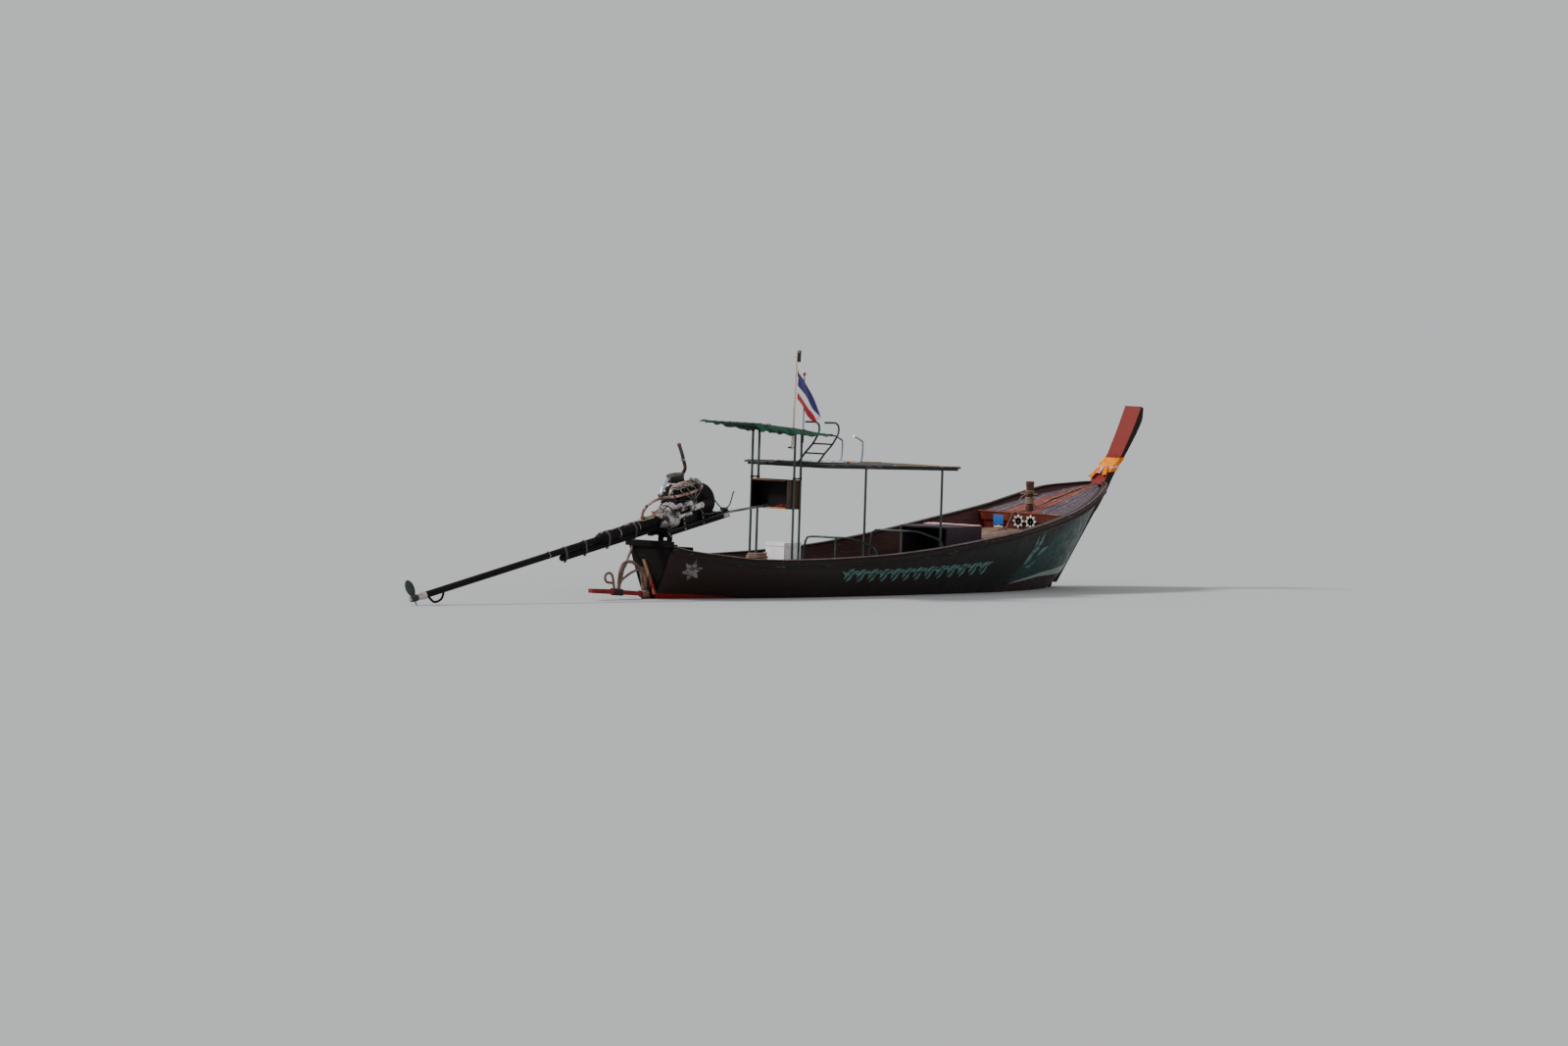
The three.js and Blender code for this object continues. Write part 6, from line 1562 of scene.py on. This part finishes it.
COWL_MIDDLE, COWL_R = 0.36, 0.24
t, a = linspace(0, 1, 16)[:, None], circle(64)
c, s = cos(a), sin(a)
box_y = 0.168 * np.sign(c) * np.abs(c) ** 0.4
box_z = 0.37 + 0.168 * np.sign(s) * np.abs(s) ** 0.4
lean = t ** 0.62
duct_y = box_y * (1 - lean) + (COWL_R - 0.001) * c * lean
duct_z = box_z * (1 - lean) + (COWL_MIDDLE + (COWL_R - 0.001) * s) * lean
bead = 0.0035 * np.exp(-((t - 0.55) / 0.06) ** 2)
duct = xyz(0.715 + 0.103 * t, duct_y + bead * c, duct_z + bead * s)
duct_piece = fit("fan_duct", [(duct, 0, True, False)], engine_iron, closed=False)
thicken(duct_piece, "sheet", 0.002)
beads = [(turned((x, 0, COWL_MIDDLE), (1, 0, 0), collar(0.008, 0.2385, 0.2435), 56), 0, True,
        False) for x in (0.8125, 0.8565, 0.8965)]
beads += hexagons([(0.8305, 0.241 * cos(a), COWL_MIDDLE + 0.241 * sin(a))
        for a in np.arange(4) * pi / 2 + 0.4], (0, 0, 1), 0.006, 0.004, 1)
fit("cowl_beads", beads, [engine_iron, bare_steel], closed=False)


# Generator on its bracket: dark steel case with cooling slots, alloy ends and a pale front ring.
GEN_Y, GEN_Z, SLOTS = -0.25, 0.345, 14
generator = [turned((0.6, GEN_Y, GEN_Z), (1, 0, 0), [(0, 0.02), (0.001, 0.058), (0.006, 0.066),
        (0.03, 0.071), (0.04, 0.071), (0.0405, 0.0685), (0.125, 0.0685)], 36),
    (turned((0.722, GEN_Y, GEN_Z), (1, 0, 0), [(0, 0.069), (0.001, 0.0715), (0.03, 0.0715),
        (0.044, 0.06), (0.048, 0.03), (0.049, 0.014)], 36), 1),
    (turned((0.7755, GEN_Y, GEN_Z), (1, 0, 0), [(0, 0.02), (0.001, 0.034), (0.005, 0.0375),
        (0.009, 0.036), (0.015, 0.036), (0.02, 0.0375), (0.024, 0.034), (0.0245, 0.014)], 24), 2),
    bar((0.64, -0.262, 0.322), (0.7, -0.1655, 0.368), 0.004)]
for turn in circle(SLOTS):
    y, z = GEN_Y + 0.069 * cos(turn), GEN_Z + 0.069 * sin(turn)
    generator.append((tube([[0.646, y, z], [0.716, y, z]], 0.0028, 6), 3))
generator.append((turned((0.599, GEN_Y, GEN_Z), (-1, 0, 0),
        collar(0.0095, 0.045, 0.048, 0.0015), 30), 4))
generator += hexagons([(0.5895, GEN_Y, GEN_Z)], (-1, 0, 0), 0.012, 0.014, 5)
generator += hexagons([(0.67, -0.262, z) for z in (0.332, 0.358)], (0, -1, 0), 0.008, 0.008, 5)
fit("generator", generator, [engine_iron, engine_iron, worn_steel, black_steel, cast_alloy,
        bare_steel], "alternator")


# Air cleaner: a pressed tin can with a lid, band and wing nut, and the bright intake pipe that
# leaves it aft and bends down to the head, held by a stay of flat bar.
lid_tin = enamel("dull_black_tin", "#2f2a27", "#161312", rust_share=0.45, roughness=0.4,
    rust="#54341f", scale=25.0)
AIR_X, AIR_Y, AIR_Z = 0.42, 0.06, 0.7125
cleaner = [turned((AIR_X, AIR_Y, AIR_Z), (0, 0, 1), [(0, 0.06), (0.001, 0.12), (0.006, 0.127),
        (0.018, 0.128), (0.021, 0.1255), (0.026, 0.128), (0.085, 0.128), (0.0985, 0.1255)], 48),
    turned((AIR_X, AIR_Y, 0.811), (0, 0, 1), [(0, 0.134), (0.0006, 0.139), (0.005, 0.14),
        (0.01, 0.137), (0.0195, 0.118), (0.0205, 0.05), (0.0178, 0.045), (0.0178, 0.008)], 48)]
cleaner += hexagons([(AIR_X, AIR_Y, 0.829)], (0, 0, 1), 0.008, 0.01, 1)
wing = array([[-0.026, 0, 0.845], [-0.018, 0, 0.843], [0, 0, 0.836], [0.018, 0, 0.843],
        [0.026, 0, 0.845]]) + (AIR_X, AIR_Y, 0)
cleaner.append((tube(wing, [0.003, 0.006, 0.006, 0.006, 0.003], 10), 1))
fit("air_cleaner", cleaner, [lid_tin, bare_steel], "air_filter")
intake = smooth_path([(0.3, 0.05, 0.765), (0.24, 0.03, 0.785), (0.16, 0.0, 0.79),
        (0.08, -0.02, 0.762), (0.01, -0.035, 0.708), (-0.04, -0.045, 0.655), (-0.06, -0.05, 0.62)],
    0.012)
swell = 0.0245 + 0.0025 * (sin(linspace(0, 9 * pi, len(intake))) > 0.75)
stay_a = smooth_path([(0.03, -0.04, 0.7), (0.075, -0.07, 0.63), (0.12, -0.1, 0.53),
        (0.14, -0.12, 0.455)], 0.02)
stay_b = smooth_path([(0.0, -0.045, 0.68), (-0.05, -0.06, 0.6), (-0.075, -0.05, 0.51),
        (-0.07, -0.03, 0.425)], 0.02)
fit("intake_pipe", [tube(intake, swell, 20), (tube(intake[4:8], 0.0285, 20), 1),
        (tube(stay_a, 0.007, 8), 2), (tube(stay_b, 0.007, 8), 2)],
    [chromed_steel, bare_steel, black_steel])
elbow = smooth_path([(0.6, -0.07, 0.655), (0.64, -0.075, 0.7), (0.7, -0.085, 0.703),
        (0.755, -0.1, 0.665), (0.785, -0.11, 0.61), (0.792, -0.11, 0.565)], 0.01)
fit("thermostat_elbow", [tube(elbow, 0.019, 18), (tube(elbow[3:6], 0.0225, 18), 1),
        (tube(elbow[-7:-4], 0.0225, 18), 1), (bar((0.565, -0.105, 0.5985), (0.64, -0.03, 0.668),
        0.008), 1)], [chromed_steel, cast_alloy])


# Lines over the head: fuel and breather hoses and wiring, tied into a loose twist that runs from
# the flywheel end forward beside the cover.
# Name, diameter, finish, start of its turn and reach from the twist's middle line.
TWIST = [("breather_hose", 0.034, tan_hose, 0.0, 0.03),
    ("fuel_hose", 0.026, grey_hose, 1.2, 0.038), ("return_hose", 0.024, tan_hose, 2.2, 0.044),
    ("loom", 0.028, wire_sleeve, 3.2, 0.036), ("spill_hose", 0.018, grey_hose, 4.2, 0.048),
    ("drain_hose", 0.026, tan_hose, 5.2, 0.044)]
run = linspace(0, 1, 22)
for name, diameter, finish, start, reach in TWIST:
    turn = start + 2.2 * pi * run
    core_y = -0.118 + 0.016 * sin(3 * run * pi)
    core_z = between(run, [0, 0.12, 0.5, 0.8, 1], [0.6, 0.672, 0.686, 0.682, 0.64])
    gather = 0.45 + 0.55 * sin(pi * clip(run * 1.1, 0, 1)) ** 0.5
    points = xyz(0.06 + 0.66 * run + 0.01 * sin(turn * 2),
        core_y + reach * 0.8 * gather * cos(turn), core_z + reach * gather * sin(turn))
    run_hose(name, points, diameter, finish, clipped=True)
run_hose("fuel_feed", [(0.53, -0.218, 0.37), (0.54, -0.235, 0.41), (0.45, -0.245, 0.45),
        (0.3, -0.235, 0.475), (0.14, -0.2, 0.5), (0.03, -0.15, 0.49), (-0.06, -0.11, 0.42),
        (-0.12, -0.07, 0.372)], 0.012, black_rubber)
run_hose("lift_hose", [(0.66, 0.17, 0.4), (0.64, 0.2, 0.42), (0.55, 0.215, 0.44),
        (0.4, 0.205, 0.43), (0.25, 0.19, 0.44), (0.18, 0.17, 0.48), (0.15, 0.12, 0.52),
        (0.172, 0.08, 0.56)], 0.013, black_rubber)


# Exhaust: a manifold with bolted ports and a stack, rusted and sooty, with one bright clamp and an
# open mouth. The coolant pipe is a copper-brown tube from the shaft tube to a flange on the head.
sooty_steel = enamel("sooty_rusted_steel", "#6a5650", "#251b19", rust_share=0.7, metallic=0.4,
    roughness=0.42, rust="#5d3a2a", scale=20.0)
copper_tube = enamel("copper_brown_tube", "#d3a99b", "#5a3d35", rust_share=0.5, metallic=0.6,
    roughness=0.3, rust="#1f1310", scale=8.0)
dress("exhaust", sooty_steel)
dress("coolant_pipe", copper_tube)
ports = []
for x in (0.24, 0.387, 0.533, 0.68):
    ports.append(bar((x - 0.036, 0.1405, 0.508), (x + 0.036, 0.1505, 0.572), 0.004))
    ports += hexagons([(x + dx, 0.1505, 0.54) for dx in (-0.029, 0.029)], (0, 1, 0),
        0.007, 0.007, 1)
stack_way = array([-0.044, 0, 0.143]) / math.hypot(0.044, 0.143)
mouth = array([0.616, 0.1, 1.243])
ports += [turned(mouth - stack_way * 0.03, stack_way, [(0, 0.0275), (0.001, 0.0295),
        (0.033, 0.0295), (0.0345, 0.0285), (0.034, 0.0255), (0.0315, 0.0245), (0.0312, 0.004)],
        28), (turned((0.681, 0.1, 0.985), (-0.2, 0, 1), collar(0.027, 0.028, 0.0315), 26), 1),
    (bar((0.617, 0.092, 0.99), (0.652, 0.108, 1.008), 0.003), 1)]
fit("exhaust_fittings", ports, [sooty_steel, chromed_steel])
flange = [bar((0.668, -0.1495, 0.546), (0.756, -0.1405, 0.604), 0.004)]
flange += hexagons([(x, -0.1495, 0.575) for x in (0.677, 0.747)], (0, -1, 0), 0.008, 0.008, 1)
FOOT_X = -0.46
flange += [(bar((FOOT_X - 0.06, -0.052, 0.318), (FOOT_X + 0.2, 0.052, 0.334), 0.005), 2),
    (turned((FOOT_X, 0, 0.35), (0, 0, 1), [(0, 0.03), (0.001, 0.036), (0.026, 0.036),
        (0.028, 0.03)], 8), 3), (tube(smooth_path([(FOOT_X + 0.03, -0.01, 0.352),
        (FOOT_X + 0.12, -0.02, 0.352), (FOOT_X + 0.22, -0.03, 0.358),
        (FOOT_X + 0.29, -0.04, 0.375), (FOOT_X + 0.335, -0.06, 0.4)], 0.01), 0.013, 14), 3),
    (turned((FOOT_X + 0.2, -0.03, 0.342), (0, 0, 1), [(0, 0.023), (0.04, 0.023), (0.042, 0.014),
        (0.062, 0.009)], 14), 3), (turned((FOOT_X + 0.2, -0.03, 0.404), (0, 0, 1),
        [(0, 0.012), (0.001, 0.027), (0.007, 0.029), (0.012, 0.027), (0.013, 0.01)], 20), 4),
    (turned((FOOT_X + 0.335, -0.06, 0.4), (0.2, -0.1, 0.6), [(0, 0.015), (0.001, 0.022),
        (0.026, 0.022), (0.028, 0.016)], 6), 3)]
flange += hexagons([(FOOT_X + dx, y, 0.334) for dx in (-0.045, 0.17) for y in (-0.04, 0.04)],
    (0, 0, 1), 0.01, 0.01, 1)
galvanised = enamel("galvanised_plate", "#c8b79c", "#7f6f5a", rust_share=0.6, metallic=0.5,
    roughness=0.5, rust="#6e4a2c", scale=30.0)
fit("pipe_fittings", flange, [copper_tube, bare_steel, galvanised, brass, red_enamel])
run_hose("cooler_hose", [(-0.117, -0.064, 0.425), (-0.1, -0.08, 0.455), (-0.06, -0.125, 0.462),
        (-0.015, -0.17, 0.42), (0.02, -0.205, 0.34), (0.05, -0.21, 0.285), (0.092, -0.208, 0.262)],
    0.022, black_rubber, clipped=True)


# Tiller and throttle: a bare steel tube worn bright, a clamped socket at its root, and two levers
# on a dark block, the forward one with a round steel knob. A control rod runs aft to the pump.
tiller_steel = enamel("hand_worn_steel_tube", "#a3aba6", "#666d69", rust_share=0.3, metallic=0.9,
    roughness=0.3, rust="#5b4a3c", scale=14.0)
dress("tiller", tiller_steel)
dress("levers", black_steel)
TILLER_ROOT, TILLER_TIP = array([1.2525, 0, 0.062]), array([2.27, 0, -0.036])
aim = (TILLER_TIP - TILLER_ROOT) / np.linalg.norm(TILLER_TIP - TILLER_ROOT)


def on_tiller(x):
    """Point on the tiller's middle line at x."""
    way = TILLER_TIP - TILLER_ROOT
    return TILLER_ROOT + way * (x - TILLER_ROOT[0]) / way[0]


knobs = []
for x, radius in ((1.3, 0.0345), (1.425, 0.0345), (2.262, 0.0265), (2.34, 0.0265)):
    knobs.append((turned(on_tiller(x), aim, collar(0.015, radius - 0.003, radius), 24), 1))
turn = linspace(0.08, pi - 0.05, 14)
for tip, size in (((1.575, -0.034, 0.327), 0.019), ((1.167, 0.034, 0.33), 0.013)):
    knobs.append(turned(tip, (0, 0, 1), np.c_[-size * cos(turn), size * sin(turn)], 20))
for x, side_of in ((1.352, 1), (1.388, -1)):
    knobs.append((turned((x, side_of * 0.03, 0.108), (0, side_of, 0),
            [(0, 0.026), (0.014, 0.026), (0.017, 0.021)], 18), 1))
    knobs += hexagons([(x, side_of * 0.047, 0.108)], (0, side_of, 0), 0.01, 0.009)
knobs.append((turned((1.37, 0, 0.084), (0, 0, -1), [(0, 0.035), (0.02, 0.037), (0.066, 0.037),
        (0.07, 0.03)], 24), 1))
knobs += hexagons([(1.37, 0, 0.014)], (0, 0, -1), 0.013, 0.03, 1)
fit("tiller_fittings", knobs, [chromed_steel, black_steel])
linkage = smooth_path([(1.388, -0.044, 0.122), (1.33, -0.075, 0.13), (1.22, -0.12, 0.14),
        (1.05, -0.155, 0.145), (0.85, -0.178, 0.155), (0.7, -0.196, 0.185), (0.62, -0.215, 0.24),
        (0.575, -0.225, 0.3)], 0.03)
clips = [(turned((x, y, z), (1, -0.1, 0.02), collar(0.0125, 0.005, 0.008, 0.0005), 12), 1)
    for x, y, z in ((1.2, -0.125, 0.1405), (0.95, -0.1675, 0.1495))]
clips += [(bar((1.2, -0.137, 0.094), (1.212, -0.124, 0.134), 0.002), 1),
    (bar((0.95, -0.18, 0.098), (0.962, -0.158, 0.143), 0.002), 1)]
fit("throttle_rod", [tube(linkage, 0.0048, 8), *clips], [bare_steel, black_steel])
